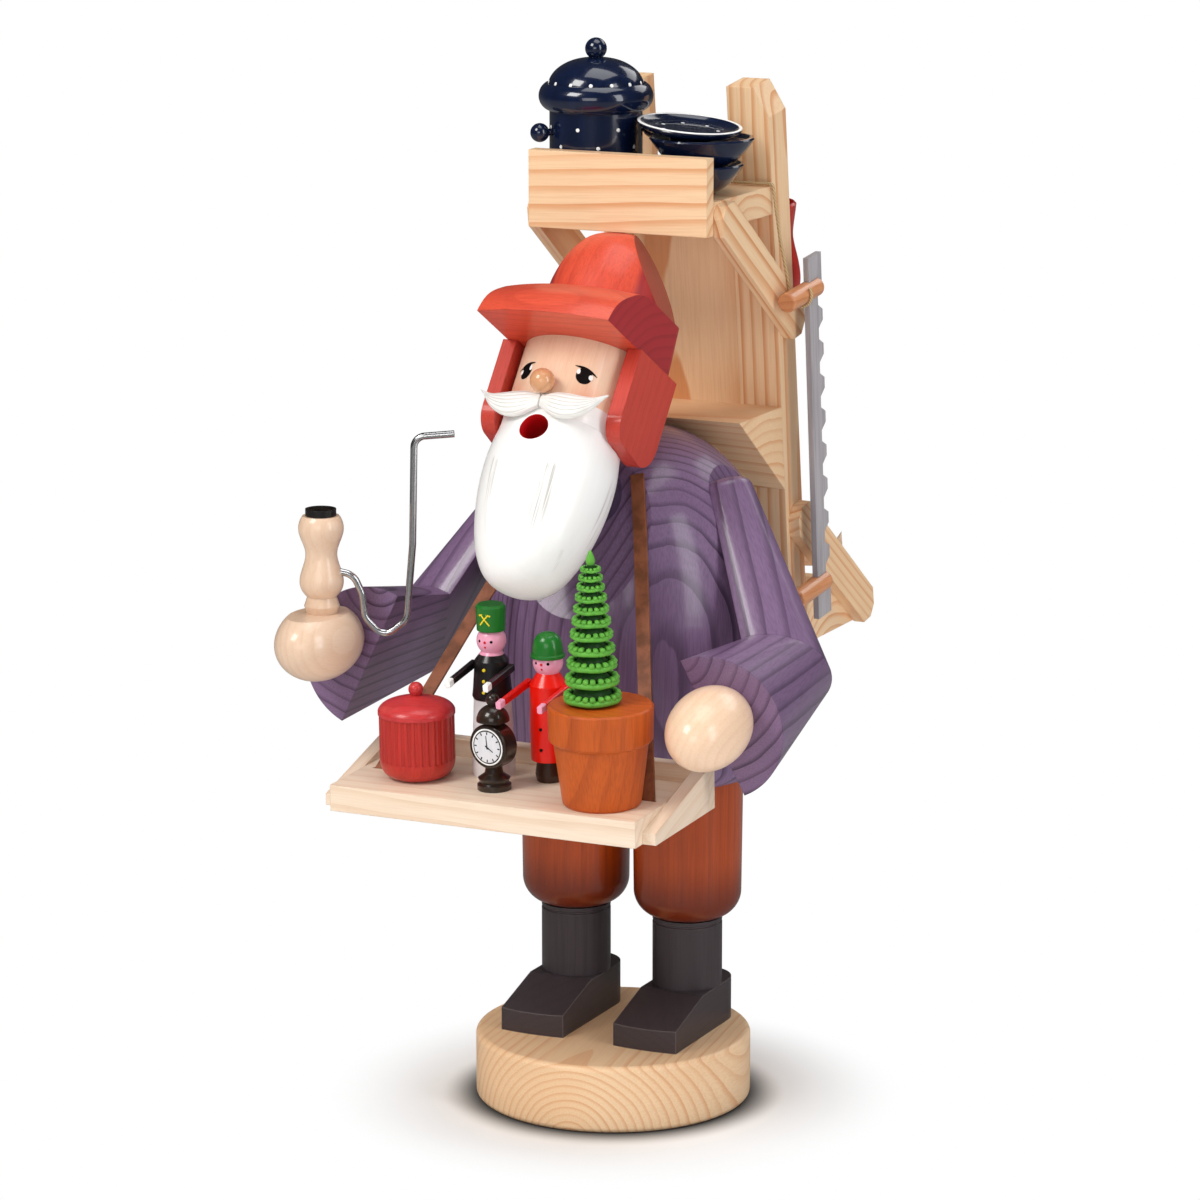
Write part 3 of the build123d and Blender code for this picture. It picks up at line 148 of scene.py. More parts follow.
def brushGroup():
    # Long uneven strokes along the z axis of the given position
    tree, i, o = newGroup("brushStrokes", [("Position", "Vector"), ("Seed", "Float")],
                          [("Stroke", "Float"), ("Speck", "Float")])
    shift = add(tree, "CombineXYZ", {0: i["Seed"], 1: 0.0, 2: i["Seed"]}).outputs[0]
    pull = (420, 420, 22)
    stretched = add(tree, "VectorMath", {0: i["Position"], 1: pull}, operation="MULTIPLY").outputs[0]
    moved = add(tree, "VectorMath", {0: stretched, 1: shift}, operation="ADD").outputs[0]
    wire(tree, o["Stroke"],
         add(tree, "TexNoise", {"Vector": moved, "Scale": 1.0, "Detail": 4.0}).outputs[0])
    speck = add(tree, "TexNoise", {"Vector": i["Position"], "Scale": 900.0, "Detail": 2.0})
    wire(tree, o["Speck"], speck.outputs[0])
    return tree


def strokeGroup():
    # One pull of a nearly dry brush from start to end, fading towards its end
    tree, i, o = newGroup("dryStroke", [("Position", "Vector"), ("Start", "Vector"), ("End", "Vector"),
                                        ("Width", "Float")], [("Mask", "Float")])

    def vector(operation, a, b=(0, 0, 0)):
        return add(tree, "VectorMath", {0: a, 1: b}, operation=operation).outputs

    way = vector("SUBTRACT", i["End"], i["Start"])[0]
    off = vector("SUBTRACT", i["Position"], i["Start"])[0]
    done = vector("DOT_PRODUCT", off, way)["Value"]
    share = calc(tree, "DIVIDE", done, vector("DOT_PRODUCT", way, way)["Value"], True)
    reached = add(tree, "VectorMath", {0: way, "Scale": share}, operation="SCALE").outputs[0]
    away = calc(tree, "DIVIDE", vector("DISTANCE", off, reached)["Value"], i["Width"])
    hairs = vector("MULTIPLY", i["Position"], (1900, 30, 0))[0]
    streak = add(tree, "TexNoise", {"Vector": hairs, "Scale": 1.0, "Detail": 2.0}).outputs[0]
    streak = ramp(tree, streak, 0.36, 0.62)
    fade = calc(tree, "MULTIPLY", ramp(tree, share, 0.0, 0.1), ramp(tree, share, 1.0, 0.5))
    body = calc(tree, "MULTIPLY", ramp(tree, away, 1.0, 0.2), fade)
    wire(tree, o["Mask"], calc(tree, "MULTIPLY", body, streak))
    return tree


groups = {"rings": ringGroup(), "edges": edgeGroup(), "brush": brushGroup(), "stroke": strokeGroup()}


def use(tree, group, inputs):
    made = tree.nodes.new("ShaderNodeGroup")
    made.node_tree = groups[group]
    for key, value in inputs.items():
        wire(tree, made.inputs[key], value)
    return made.outputs


def blank(name):
    mat = bpy.data.materials.new(name)
    mat.use_nodes = True
    tree = mat.node_tree
    bsdf = tree.nodes["Principled BSDF"]
    return mat, tree, bsdf


def place(tree, origin=(0, 0, 0), along=(0, 0, 1)):
    # Position from an origin in millimetres, turned so that the given direction is z
    spot = add(tree, "TexCoord").outputs["Object"]
    start = tuple(c * mm for c in origin)
    moved = add(tree, "VectorMath", {0: spot, 1: start}, operation="SUBTRACT").outputs[0]
    turn = Vector(along).rotation_difference(Vector((0, 0, 1))).to_euler()
    return add(tree, "Mapping", {"Vector": moved, "Rotation": tuple(turn)}, vector_type="POINT").outputs[0]


def surface(tree, bsdf, colour, look, height=None, lift=0.0001):
    edges = use(tree, "edges", {"Radius": look.get("ease", 0.6) * mm})
    wire(tree, bsdf.inputs["Base Color"], colour)
    wire(tree, bsdf.inputs["Roughness"], look.get("rough", 0.4))
    bsdf.inputs["Coat Weight"].default_value = look.get("coat", 0.0)
    bsdf.inputs["Coat Roughness"].default_value = look.get("coatRough", 0.15)
    bsdf.inputs["Specular IOR Level"].default_value = look.get("spec", 0.3)
    normal = edges["Normal"]
    if height is not None:
        normal = add(tree, "Bump", {"Height": height, "Strength": look.get("bump", 0.3), "Distance": lift,
                                    "Normal": edges["Normal"]}).outputs[0]
    wire(tree, bsdf.inputs["Normal"], normal)
    return edges["Edge"]


def wood(name, look):
    mat, tree, bsdf = blank(name)
    spot = place(tree, look.get("pith", (0, 0, 0)), look.get("along", (0, 0, 1)))
    rings = use(tree, "rings", {"Position": spot, "Spacing": look.get("spacing", 6.0) * mm,
                                "Warp": look.get("warp", 8.0) * mm, "Line": look.get("line", 0.5),
                                "Seed": look.get("seed", 0.0)})
    line = calc(tree, "MULTIPLY", rings["Ring"], look.get("contrast", 0.8))
    colour = mixColour(tree, line, rgb(look["early"]), rgb(look["late"]))
    tone = ramp(tree, rings["Tone"], 0.3, 0.7)
    colour = mixColour(tree, calc(tree, "MULTIPLY", tone, look.get("cloud", 0.35)), colour,
                       rgb(look.get("warm", look["late"])))
    grain = calc(tree, "MULTIPLY", ramp(tree, rings["Fibre"], 0.35, 0.75), look.get("fibre", 0.18))
    colour = mixColour(tree, grain, colour, rgb(look.get("dark", look["late"])))
    pores = calc(tree, "MULTIPLY", rings["Pore"], look.get("pore", 0.0))
    colour = mixColour(tree, pores, colour, rgb(look.get("dark", look["late"])))
    if look.get("sides"):
        facing = add(tree, "TexCoord").outputs["Normal"]
        facing = add(tree, "SeparateXYZ", {0: facing}).outputs[0]
        mask = ramp(tree, calc(tree, "ABSOLUTE", facing), 0.62, 0.72)
        darker = mixColour(tree, line, rgb(look["sides"]), rgb(look["sidesLate"]))
        colour = mixColour(tree, mask, colour, darker)
    for spotLook in look.get("blush", []):
        away = add(tree, "VectorMath",
                   {0: add(tree, "TexCoord").outputs["Object"], 1: tuple(spotLook["at"])},
                   operation="DISTANCE").outputs["Value"]
        mask = calc(tree, "MULTIPLY", ramp(tree, away, spotLook["size"] * mm, 0.0), spotLook["amount"])
        colour = mixColour(tree, mask, colour, rgb(spotLook["colour"]))
    # Painted shade: the piece is darker towards the bottom, where less light reaches
    if look.get("lowShade"):
        level = add(tree, "SeparateXYZ", {0: add(tree, "TexCoord").outputs["Object"]}).outputs[2]
        low = ramp(tree, level, (look["lowShadeZ"] + look["lowShadeHigh"]) * mm, look["lowShadeZ"] * mm)
        colour = mixColour(tree, calc(tree, "MULTIPLY", low, 0.75), colour, rgb(look["lowShade"]))
    if look.get("dipped"):
        level = add(tree, "SeparateXYZ", {0: place(tree, look["dipFrom"], look["along"])}).outputs[2]
        colour = mixColour(tree, ramp(tree, level, 0.3 * mm, -0.3 * mm), colour, rgb(look["dipped"]))
    ridge = calc(tree, "MULTIPLY", rings["Ring"], 0.6)
    height = calc(tree, "ADD", ridge, calc(tree, "MULTIPLY", rings["Fibre"], 0.4))
    edge = surface(tree, bsdf, colour, look, height, look.get("lift", 0.06) * mm)
    if look.get("worn"):
        mask = calc(tree, "MULTIPLY", edge, ramp(tree, rings["Tone"], 0.25, 0.6))
        colour = mixColour(tree, calc(tree, "MULTIPLY", mask, 0.8), colour, rgb(look["worn"]))
        wire(tree, bsdf.inputs["Base Color"], colour)
    return mat


def paint(name, look):
    # Brushed paint: uneven tone, fine specks, faint strokes
    mat, tree, bsdf = blank(name)
    spot = place(tree, look.get("pith", (0, 0, 0)), look.get("along", (0, 0, 1)))
    brush = use(tree, "brush", {"Position": spot, "Seed": look.get("seed", 0.0)})
    stroke = calc(tree, "MULTIPLY", ramp(tree, brush["Stroke"], 0.35, 0.75), look.get("stroke", 0.15))
    colour = mixColour(tree, stroke, rgb(look["colour"]), rgb(look["second"]))
    # Painted shade: darker where the point attribute marks grooves and gaps
    if look.get("groove"):
        recessShade = add(tree, "Attribute", attribute_name="groove").outputs["Fac"]
        colour = mixColour(tree, ramp(tree, recessShade, 0.25, 1.0), colour, rgb(look["groove"]))
    height = calc(tree, "ADD", brush["Stroke"], calc(tree, "MULTIPLY", brush["Speck"], 0.4))
    edge = surface(tree, bsdf, colour, look, height, look.get("lift", 0.05) * mm)
    if look.get("worn"):
        colour = mixColour(tree, calc(tree, "MULTIPLY", edge, 0.75), colour, rgb(look["worn"]))
        wire(tree, bsdf.inputs["Base Color"], colour)
    bsdf.inputs["Metallic"].default_value = look.get("metal", 0.0)
    return mat


def banded(name, look):
    # Painted toy: bands of colour by height above the tray
    mat, tree, bsdf = blank(name)
    base = trayFrame @ (Vector((look["spot"][0], look["spot"][1], trayFloor)) * mm)
    up = trayFrame.to_3x3() @ Vector((0, 0, 1))
    spot = place(tree, tuple(c / mm for c in base), tuple(up))
    height = add(tree, "SeparateXYZ", {0: spot}).outputs[2]
    brush = use(tree, "brush", {"Position": spot, "Seed": look.get("seed", 1.0)})
    colour = rgb(look["bands"][0][1])
    for level, code in look["bands"][1:]:
        above = ramp(tree, height, (level - 0.12) * mm, (level + 0.12) * mm)
        colour = mixColour(tree, above, colour, rgb(code))
    stroke = calc(tree, "MULTIPLY", ramp(tree, brush["Stroke"], 0.4, 0.8), 0.12)
    colour = mixColour(tree, stroke, colour, rgb(look["second"]), "MULTIPLY")
    surface(tree, bsdf, colour, look, brush["Stroke"], 0.04 * mm)
    return mat


def leatherMat(name, look):
    mat, tree, bsdf = blank(name)
    spot = add(tree, "TexCoord").outputs["Object"]
    cells = add(tree, "TexVoronoi", {"Vector": spot, "Scale": look["cell"]}, feature="F1").outputs[0]
    cloud = add(tree, "TexNoise", {"Vector": spot, "Scale": 160.0, "Detail": 4.0}).outputs[0]
    colour = mixColour(tree, ramp(tree, cloud, 0.35, 0.7), rgb(look["colour"]), rgb(look["second"]))
    edge = surface(tree, bsdf, colour, look, cells, 0.12 * mm)
    colour = mixColour(tree, calc(tree, "MULTIPLY", edge, 0.6), colour, rgb(look["worn"]))
    wire(tree, bsdf.inputs["Base Color"], colour)
    return mat


def twineMat(name, look):
    mat, tree, bsdf = blank(name)
    spot = add(tree, "TexCoord").outputs["Object"]
    lay = add(tree, "TexWave", {"Vector": spot, "Scale": look["lay"], "Distortion": 2.0, "Detail": 2.0},
              bands_direction="DIAGONAL").outputs[1]
    colour = mixColour(tree, lay, rgb(look["second"]), rgb(look["colour"]))
    surface(tree, bsdf, colour, look, lay, 0.3 * mm)
    return mat


def metalMat(name, look):
    mat, tree, bsdf = blank(name)
    spot = add(tree, "TexCoord").outputs["Object"]
    draw = add(tree, "TexNoise", {"Vector": spot, "Scale": 700.0, "Detail": 3.0}).outputs[0]
    colour = mixColour(tree, draw, rgb(look["colour"]), rgb(look["second"]))
    surface(tree, bsdf, colour, look, draw, 0.02 * mm)
    wire(tree, bsdf.inputs["Roughness"],
         calc(tree, "ADD", calc(tree, "MULTIPLY", draw, 0.14), look["rough"]))
    bsdf.inputs["Metallic"].default_value = 1.0
    return mat


def beardMat(name, look):
    # White paint with dry grey strokes, and a red mouth with painted shade deeper in
    mat, tree, bsdf = blank(name)
    origin = tuple(c / mm for c in headFrame.translation)
    up = tuple(headFrame.to_3x3() @ Vector((0, 0, 1)))
    spot = place(tree, origin, up)
    parts = add(tree, "SeparateXYZ", {0: spot}).outputs
    brush = use(tree, "brush", {"Position": spot, "Seed": 4.0})
    colour = mixColour(tree, calc(tree, "MULTIPLY", ramp(tree, brush["Stroke"], 0.3, 0.8), 0.25),
                       rgb(look["colour"]), rgb(look["second"]))
    turn = calc(tree, "ARCTAN2", parts[0], calc(tree, "MULTIPLY", parts[1], -1.0))
    sideways = calc(tree, "MULTIPLY", turn, look["girth"] * mm)
    unrolled = add(tree, "CombineXYZ", {0: sideways, 1: parts[2], 2: 0.0}).outputs[0]
    total = 0.0
    for s0, z0, s1, z1, wide, dark in look["strokes"]:
        mask = use(tree, "stroke", {"Position": unrolled, "Start": (s0 * mm, z0 * mm, 0),
                                    "End": (s1 * mm, z1 * mm, 0), "Width": wide * mm})["Mask"]
        total = calc(tree, "MAXIMUM", total, calc(tree, "MULTIPLY", mask, dark))
    colour = mixColour(tree, total, colour, rgb(look["grey"]))
    fromMouth = calc(tree, "ADD", parts[2], look["mouthDrop"] * mm)
    hole = add(tree, "CombineXYZ", {0: parts[0], 1: 0.0, 2: fromMouth})
    away = add(tree, "VectorMath", {0: hole.outputs[0]}, operation="LENGTH").outputs["Value"]
    inside = calc(tree, "LESS_THAN", away, look["mouthR"] * mm)
    inside = calc(tree, "MULTIPLY", inside, calc(tree, "LESS_THAN", parts[1], 0.0))
    # Painted shade: the mouth's red darkens deeper into the bore
    deepShade = ramp(tree, parts[1], look["mouthBack"] * mm, -0.027)
    red = mixColour(tree, deepShade, rgb(look["mouthShadeRed"]), rgb(look["mouth"]))
    colour = mixColour(tree, inside, colour, red)
    ridge = calc(tree, "MULTIPLY", brush["Stroke"], 0.2)
    height = calc(tree, "SUBTRACT", ridge, calc(tree, "MULTIPLY", total, 0.3))
    surface(tree, bsdf, colour, look, height, 0.3 * mm)
    return mat


# Looks, one set of values for each kind of piece
pine = {"early": "F4D2AA", "late": "D48444", "warm": "EFBB88", "dark": "BC7A42", "spacing": 5.2,
        "warp": 9.0,
        "line": 0.5, "contrast": 0.72, "cloud": 0.3, "fibre": 0.16, "rough": 0.42, "coat": 0.25,
        "coatRough": 0.3,
        "ease": 0.7, "bump": 0.12}
palePine = dict(pine, early="F5E1CB", late="DDB592", warm="EDD0B0", dark="C99E74", contrast=0.5)
beech = {"early": "F6D5B8", "late": "E6B690", "warm": "F0C6A2", "dark": "CF9C72", "spacing": 3.4,
         "warp": 5.0,
         "line": 0.6, "contrast": 0.3, "cloud": 0.3, "fibre": 0.12, "pore": 0.16, "rough": 0.33,
         "coat": 0.5,
         "coatRough": 0.12, "ease": 0.4, "bump": 0.06}
violet = {"early": "876B8E", "late": "35263C", "warm": "6C5274", "dark": "45334D", "spacing": 5.0,
          "warp": 8.0,
          "line": 0.38, "contrast": 0.9, "cloud": 0.5, "fibre": 0.3, "rough": 0.4, "coat": 0.5,
          "coatRough": 0.14,
          "ease": 0.7, "bump": 0.15, "lift": 0.12}
hatRed = {"early": "E2553A", "late": "BE3A28", "warm": "D0452E", "dark": "90241A", "spacing": 5.0,
          "warp": 7.0,
          "line": 0.5, "contrast": 0.5, "cloud": 0.4, "fibre": 0.22, "pore": 0.25, "rough": 0.45,
          "coat": 0.3,
          "coatRough": 0.16, "ease": 0.8, "bump": 0.1}
chestnut = {"early": "B4480A", "late": "7E2C04", "warm": "9A3A06", "dark": "5E1E04", "spacing": 4.2,
            "warp": 6.0,
            "line": 0.5, "contrast": 0.45, "cloud": 0.5, "fibre": 0.25, "rough": 0.42, "coat": 0.75,
            "coatRough": 0.07,
            "ease": 0.6, "bump": 0.06, "lowShade": "521404", "lowShadeZ": 87.0, "lowShadeHigh": 24.0}
bootBlack = {"early": "453C3F", "late": "312A2D", "warm": "3D3437", "dark": "251F22", "spacing": 3.6,
             "warp": 4.0,
             "line": 0.5, "contrast": 0.25, "cloud": 0.4, "fibre": 0.25, "rough": 0.46, "coat": 0.2,
             "coatRough": 0.3,
             "ease": 0.9, "worn": "75696A", "bump": 0.14}
navy = {"colour": "0A1530", "second": "16264A", "stroke": 0.3, "rough": 0.22, "coat": 0.9,
        "coatRough": 0.05,
        "ease": 0.5, "bump": 0.04}
jarRed = {"early": "C63026", "late": "8E1713", "warm": "AE221C", "dark": "70100E", "spacing": 4.0,
          "warp": 6.0,
          "line": 0.5, "contrast": 0.45, "cloud": 0.4, "fibre": 0.3, "rough": 0.38, "coat": 0.35,
          "coatRough": 0.2,
          "ease": 0.5, "bump": 0.12}
terracotta = {"early": "C85A14", "late": "983A08", "warm": "B44C10", "dark": "762C06", "spacing": 5.0,
              "warp": 5.0,
              "line": 0.5, "contrast": 0.5, "cloud": 0.45, "fibre": 0.3, "rough": 0.45, "coat": 0.2,
              "coatRough": 0.3,
              "ease": 0.6, "bump": 0.12}
clockBrown = {"colour": "2E2119", "second": "17100B", "stroke": 0.5, "rough": 0.3, "coat": 0.6,
              "coatRough": 0.1,
              "ease": 0.5, "bump": 0.06}
treeGreen = {"colour": "66B040", "second": "38842A", "groove": "1A4A12", "stroke": 0.45, "rough": 0.55,
             "coat": 0.05, "ease": 0.3,
             "bump": 0.25}
sawGrey = {"colour": "B2ADB0", "second": "868186", "stroke": 0.6, "rough": 0.5, "coat": 0.1,
           "coatRough": 0.3,
           "ease": 0.5, "worn": "B4B1B6", "bump": 0.2}
handleWood = dict(beech, early="DE9A6B", late="B9683A", warm="CC8352", dark="94502A", contrast=0.5)
leather = {"colour": "93573A", "second": "704026", "worn": "A9714C", "cell": 1500.0, "rough": 0.55,
           "ease": 0.3,
           "bump": 0.5}
twine = {"colour": "DCC196", "second": "A98A5C", "lay": 420.0, "rough": 0.85, "ease": 0.2, "bump": 0.5}
brightWire = {"colour": "E2E2E4", "second": "B9BABD", "rough": 0.16, "ease": 0.2, "bump": 0.1}
dishBrass = {"colour": "D9B160", "second": "B08A3E", "rough": 0.25, "ease": 0.2, "bump": 0.1}
nailSteel = {"colour": "C4C4C6", "second": "8E8E92", "rough": 0.3, "ease": 0.2, "bump": 0.1}
blackRim = {"colour": "141212", "second": "262120", "stroke": 0.4, "rough": 0.4, "coat": 0.3, "ease": 0.4,
            "bump": 0.1}
beardWhite = {"colour": "FBFAF8", "second": "F0EDE9", "grey": "B3ADA6", "mouth": "DC1A20",
              "mouthShadeRed": "B40E14",
              "mouthR": 6.36, "mouthDrop": 19.6, "mouthBack": -11.0, "rough": 0.34, "coat": 0.35,
              "coatRough": 0.2,
              "ease": 0.5, "bump": 0.25,
              "girth": 27.0,
              "strokes": [(10.8, -33, 12.4, -73, 1.7, 0.8), (13.4, -33, 15.6, -66, 1.6, 0.75),
                          (9.6, -42, 8.8, -66, 1.3, 0.55), (-16.2, -32, -16.4, -63, 1.5, 0.7),
                          (-13.0, -34, -13.6, -58, 1.3, 0.6), (-15.0, -40, -14.4, -72, 1.1, 0.45),
                          (44, -26, 42, -60, 1.5, 0.6), (48, -30, 46, -66, 1.4, 0.6),
                          (31, -66, 34, -77, 1.6, 0.35)]}


def dress(mat, *names):
    for name in names:
        mesh = nodes[name].data
        mesh.materials.clear()
        mesh.materials.append(mat)


def dressWood(look, name, **over):
    dress(wood(name + "Wood", dict(look, **over)), name)


lean = radians(7.1)
packUp = (0, -sin(lean), cos(lean))
headUp = (0, sin(radians(38)), cos(radians(38)))
dressWood(pine, "base_disc", pith=(7, -60, -4), along=(0.12, -0.99, 0.02), spacing=3.2, warp=5.0,
          contrast=0.55, seed=1.0)
dressWood(pine, "post_left", pith=(60, 120, 184), along=packUp, spacing=4.6, warp=6.0, contrast=0.85,
          seed=2.0)
dressWood(pine, "post_right", pith=(-70, 128, 184), along=packUp, spacing=4.6, warp=6.0, seed=3.0)
dressWood(pine, "back_panel", pith=(-14, 190, 184), along=packUp, spacing=6.4, warp=12.0, contrast=0.85,
          seed=4.0)
dressWood(pine, "top_shelf", pith=(0, 50, 350), along=(1, 0, 0.02), seed=5.0)
dressWood(pine, "shelf_front", pith=(0, 40, 350), along=(1, 0, 0.05), spacing=6.0, warp=10.0, seed=6.0)
dressWood(pine, "middle_shelf", pith=(0, 70, 220), along=(1, 0, -0.04), seed=7.0)
dressWood(pine, "rear_shelf", pith=(0, 150, 150), along=(1, 0.03, 0), seed=8.0)
dressWood(pine, "braces", pith=(20, 80, 330), along=(0, 0.82, -0.57), spacing=3.6, warp=3.0, contrast=0.9,
          seed=9.0)
for plain in ("pack_dowels", "leg_dowels", "hip_block", "arm_dowels", "tray_dowels"):
    dressWood(pine, plain, pith=(40, 60, 0), seed=10.0 + len(plain))
dressWood(palePine, "toy_cat", pith=(20, 150, 190), along=(1, 0.3, 0), seed=11.0)
dressWood(palePine, "tray_floor", pith=(0, -60, 100), along=(1, 0.02, 0), spacing=4.6, seed=12.0)
dressWood(palePine, "tray_back", pith=(0, -30, 120), along=(1, 0, 0.02), spacing=5.0, contrast=0.75,
          seed=13.0)
dressWood(palePine, "tray_sides", pith=(40, -100, 120), along=(0, 0.94, 0.3), seed=14.0)
cheeks = [{"at": inHead(side * 17, -21, -1.5), "size": 11.0, "amount": 0.6, "colour": "EE9A7C"}
          for side in (-1, 1)]
beardLine = tuple(c / mm for c in inHead(0, 0, -3.0))
dressWood(beech, "head", pith=(30, 20, 300), along=headUp, contrast=0.12, cloud=0.2, seed=15.0,
          blush=cheeks,
          dipped="F8F6F3", dipFrom=beardLine)
dressWood(beech, "nose", pith=(6, -80, 300), along=headUp, early="DDA478", late="C08252", warm="D29468",
          coat=0.9,
          seed=16.0)
dressWood(beech, "hand_left", pith=(120, -60, 180), along=(0.2, -1, 0), seed=17.0)
paleBeech = dict(beech, early="E6C9B0", late="D2A886", warm="DCB898")
dressWood(paleBeech, "hand_right", pith=(-130, -60, 200), along=(-0.2, -1, 0.2), seed=18.0)
dressWood(paleBeech, "pipe_bowl", pith=(-110, -90, 250), seed=19.0)
dressWood(violet, "coat_body", pith=(-150, 206, 200), along=(0.02, 0.03, 1), spacing=4.0, warp=9.0,
          seed=20.0)
# Painted shade: the neck block gets a darker violet than the coat, as shaded coat under the beard
dressWood(violet, "neck_block", pith=(30, 60, 200), early="4A3A52", warm="3E3048", seed=37.0)
dressWood(violet, "upper_arm_left", pith=(36, -8, 230), along=(0.42, -0.2, -0.88), spacing=6.5, warp=7.0,
          seed=21.0)
dressWood(violet, "upper_arm_right", pith=(-36, -8, 230), along=(-0.42, -0.2, -0.88), spacing=6.5,
          warp=7.0, seed=22.0)
dressWood(violet, "forearm_left", pith=(66, -40, 230), along=(0.06, -0.99, -0.1), spacing=5.6, warp=6.0,
          seed=23.0)
dressWood(violet, "forearm_right", pith=(-70, -40, 240), along=(-0.06, -0.99, 0.05), spacing=5.6, warp=6.0,
          seed=24.0)
dressWood(hatRed, "hat_brim", pith=(0, -20, 250), along=(1, 0.05, 0.03), sides="AA2A30",
          sidesLate="841B26", seed=25.0)
dressWood(hatRed, "hat_crown", pith=(10, -60, 300), along=(0.1, 0.5, 0.86), spacing=7.0, sides="A8302F",
          sidesLate="84202A", seed=26.0)
dressWood(hatRed, "ear_flaps", pith=(0, -20, 260), along=headUp, early="CC4436", warm="BC3830", seed=27.0)
dressWood(chestnut, "trouser_left", pith=(48, 44, 0), seed=28.0)
dressWood(chestnut, "trouser_right", pith=(-8, 44, 0), seed=29.0)
dressWood(bootBlack, "shoes", pith=(0, 0, -20), along=(0, 1, 0.05), seed=30.0)
dressWood(bootBlack, "boot_shafts", pith=(0, 50, 0), ease=0.5, seed=31.0)
dressWood(jarRed, "jar_body", pith=(-30, -80, 160), seed=32.0)
dressWood(jarRed, "jar_lid", pith=(-60, -80, 150), along=(1, 0.2, 0), early="D23A3B", late="A92426",
          warm="C02C2E",
          seed=33.0)
dressWood(jarRed, "red_jug", pith=(40, 130, 300), coat=0.7, seed=34.0)
dressWood(terracotta, "flower_pot", pith=(60, -90, 150), seed=35.0)
dressWood(handleWood, "saw_handles", pith=(60, 80, 300), along=(0, 1, 0), seed=36.0)
dress(paint("navyGloss", navy), "tureen_pot", "tureen_handles", "tureen_lid", "enamel_bowls")
dress(paint("clockBrown", clockBrown), "toy_clock")
dress(paint("sawGrey", dict(sawGrey, along=(0, -sin(radians(5.6)), cos(radians(5.6))))), "saw_blade")
dress(paint("blackRim", blackRim), "pipe_cap")
dress(leatherMat("strapLeather", leather), "strap_left", "strap_right")
dress(twineMat("rawTwine", twine), "twine")
dress(metalMat("brightWire", brightWire), "pipe_stem")
dress(metalMat("dishBrass", dishBrass), "incense_dish")
dress(metalMat("nailSteel", nailSteel), "dish_nail")
whiteBeard = beardMat("beardWhite", beardWhite)
dress(whiteBeard, "beard")
miner = {"spot": (-14.8, 42.5), "second": "C8C0C0", "rough": 0.32, "coat": 0.4, "coatRough": 0.15,
         "ease": 0.4,
         "bump": 0.05,
         "bands": [(0, "F1EEF0"), (33.4, "1A1718"), (52.6, "F3A6C0"), (62.9, "1F7426")]}
toyman = {"spot": (11.6, 42.5), "second": "C8B8B8", "rough": 0.32, "coat": 0.4, "coatRough": 0.15,
          "ease": 0.4,
          "bump": 0.05,
          "bands": [(0, "3A2216"), (9.2, "F01808"), (47.15, "F3A6C0"), (53.75, "1F7426")]}
dress(banded("minerPaint", miner), "toy_miner")
dress(banded("toymanPaint", toyman), "toy_man")
print("stage: solids dressed")


# Mesh helpers
def meshPiece(name, points, faces, mat, body, smooth=True):
    mesh = bpy.data.meshes.new(name)
    mesh.from_pydata([tuple(p) for p in points], [], faces)
    mesh.validate()
    mesh.update()
    made = bpy.data.objects.new(name, mesh)
    bpy.context.scene.collection.objects.link(made)
    mesh.materials.append(mat)
    for face in mesh.polygons:
        face.use_smooth = smooth
    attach(made, body)
    return made


def grid(rows, wrapRows=False, wrapColumns=False):
    # Points and faces of rows of points; each row has the same length
    points = [p for row in rows for p in row]
    wide = len(rows[0])
    faces = []
    for r in range(len(rows) if wrapRows else len(rows) - 1):
        for c in range(wide if wrapColumns else wide - 1):
            below = (r + 1) % len(rows) * wide
            nextC = (c + 1) % wide
            faces.append((r * wide + c, r * wide + nextC, below + nextC, below + c))
    return points, faces


class Pile:
    # Gathers the points and faces of many small shapes into one mesh
    def __init__(self):
        self.points = []
        self.faces = []

    def put(self, points, faces):
        start = len(self.points)
        self.points += points
        self.faces += [tuple(start + i for i in face) for face in faces]

    def dome(self, at, normal, r, high, steps=20):
        # Low dome of paint or a small button on a surface
        normal = Vector(normal).normalized()
        side = normal.orthogonal().normalized()
        other = normal.cross(side)
        rows = []
        for share, lift in ((1.0, -0.3), (1.0, 0.35), (0.85, 0.75), (0.5, 0.95), (0.02, 1.0)):
            ring = []
            for i in range(steps):
                a = 2 * pi * i / steps
                spread = (side * cos(a) + other * sin(a)) * r * share
                ring.append(Vector(at) + spread + normal * high * lift)
            rows.append(ring)
        points, faces = grid(rows, wrapColumns=True)
        faces.append(tuple(range(len(points) - steps, len(points))))
        self.put(points, faces)

    def bar(self, start, end, up, wide, high, taper=1.0):
        # Straight bar with slightly rounded corners
        way = (end - start).normalized()
        up = (up - way * up.dot(way)).normalized()
        side = way.cross(up)
        rows = []
        trim = min(wide, high) * 0.18
        for share, shrink in ((0.0, 0.8), (0.04, 1.0), (0.96, taper), (1.0, taper * 0.8)):
            w, h = wide * shrink / 2, high * shrink / 2
            centre = start.lerp(end, share)
            corner = [(w, h - trim), (w - trim, h), (trim - w, h), (-w, h - trim), (-w, trim - h),
                      (trim - w, -h),
                      (w - trim, -h), (w, trim - h)]
            rows.append([centre + side * a + up * b for a, b in corner])
        points, faces = grid(rows, wrapColumns=True)
        faces += [tuple(range(8))[::-1], tuple(range(len(points) - 8, len(points)))]
        self.put(points, faces)


def onto(node, at):
    # Nearest point of a solid and its normal
    hit = nodes[node].closest_point_on_mesh(at)
    return hit[1], hit[2]


# Painted eyes on the curved face
def facePoint(s, z, off):
    r = 26.3 + off
    return inHead(r * sin(s / 26.3), -r * cos(s / 26.3), z)


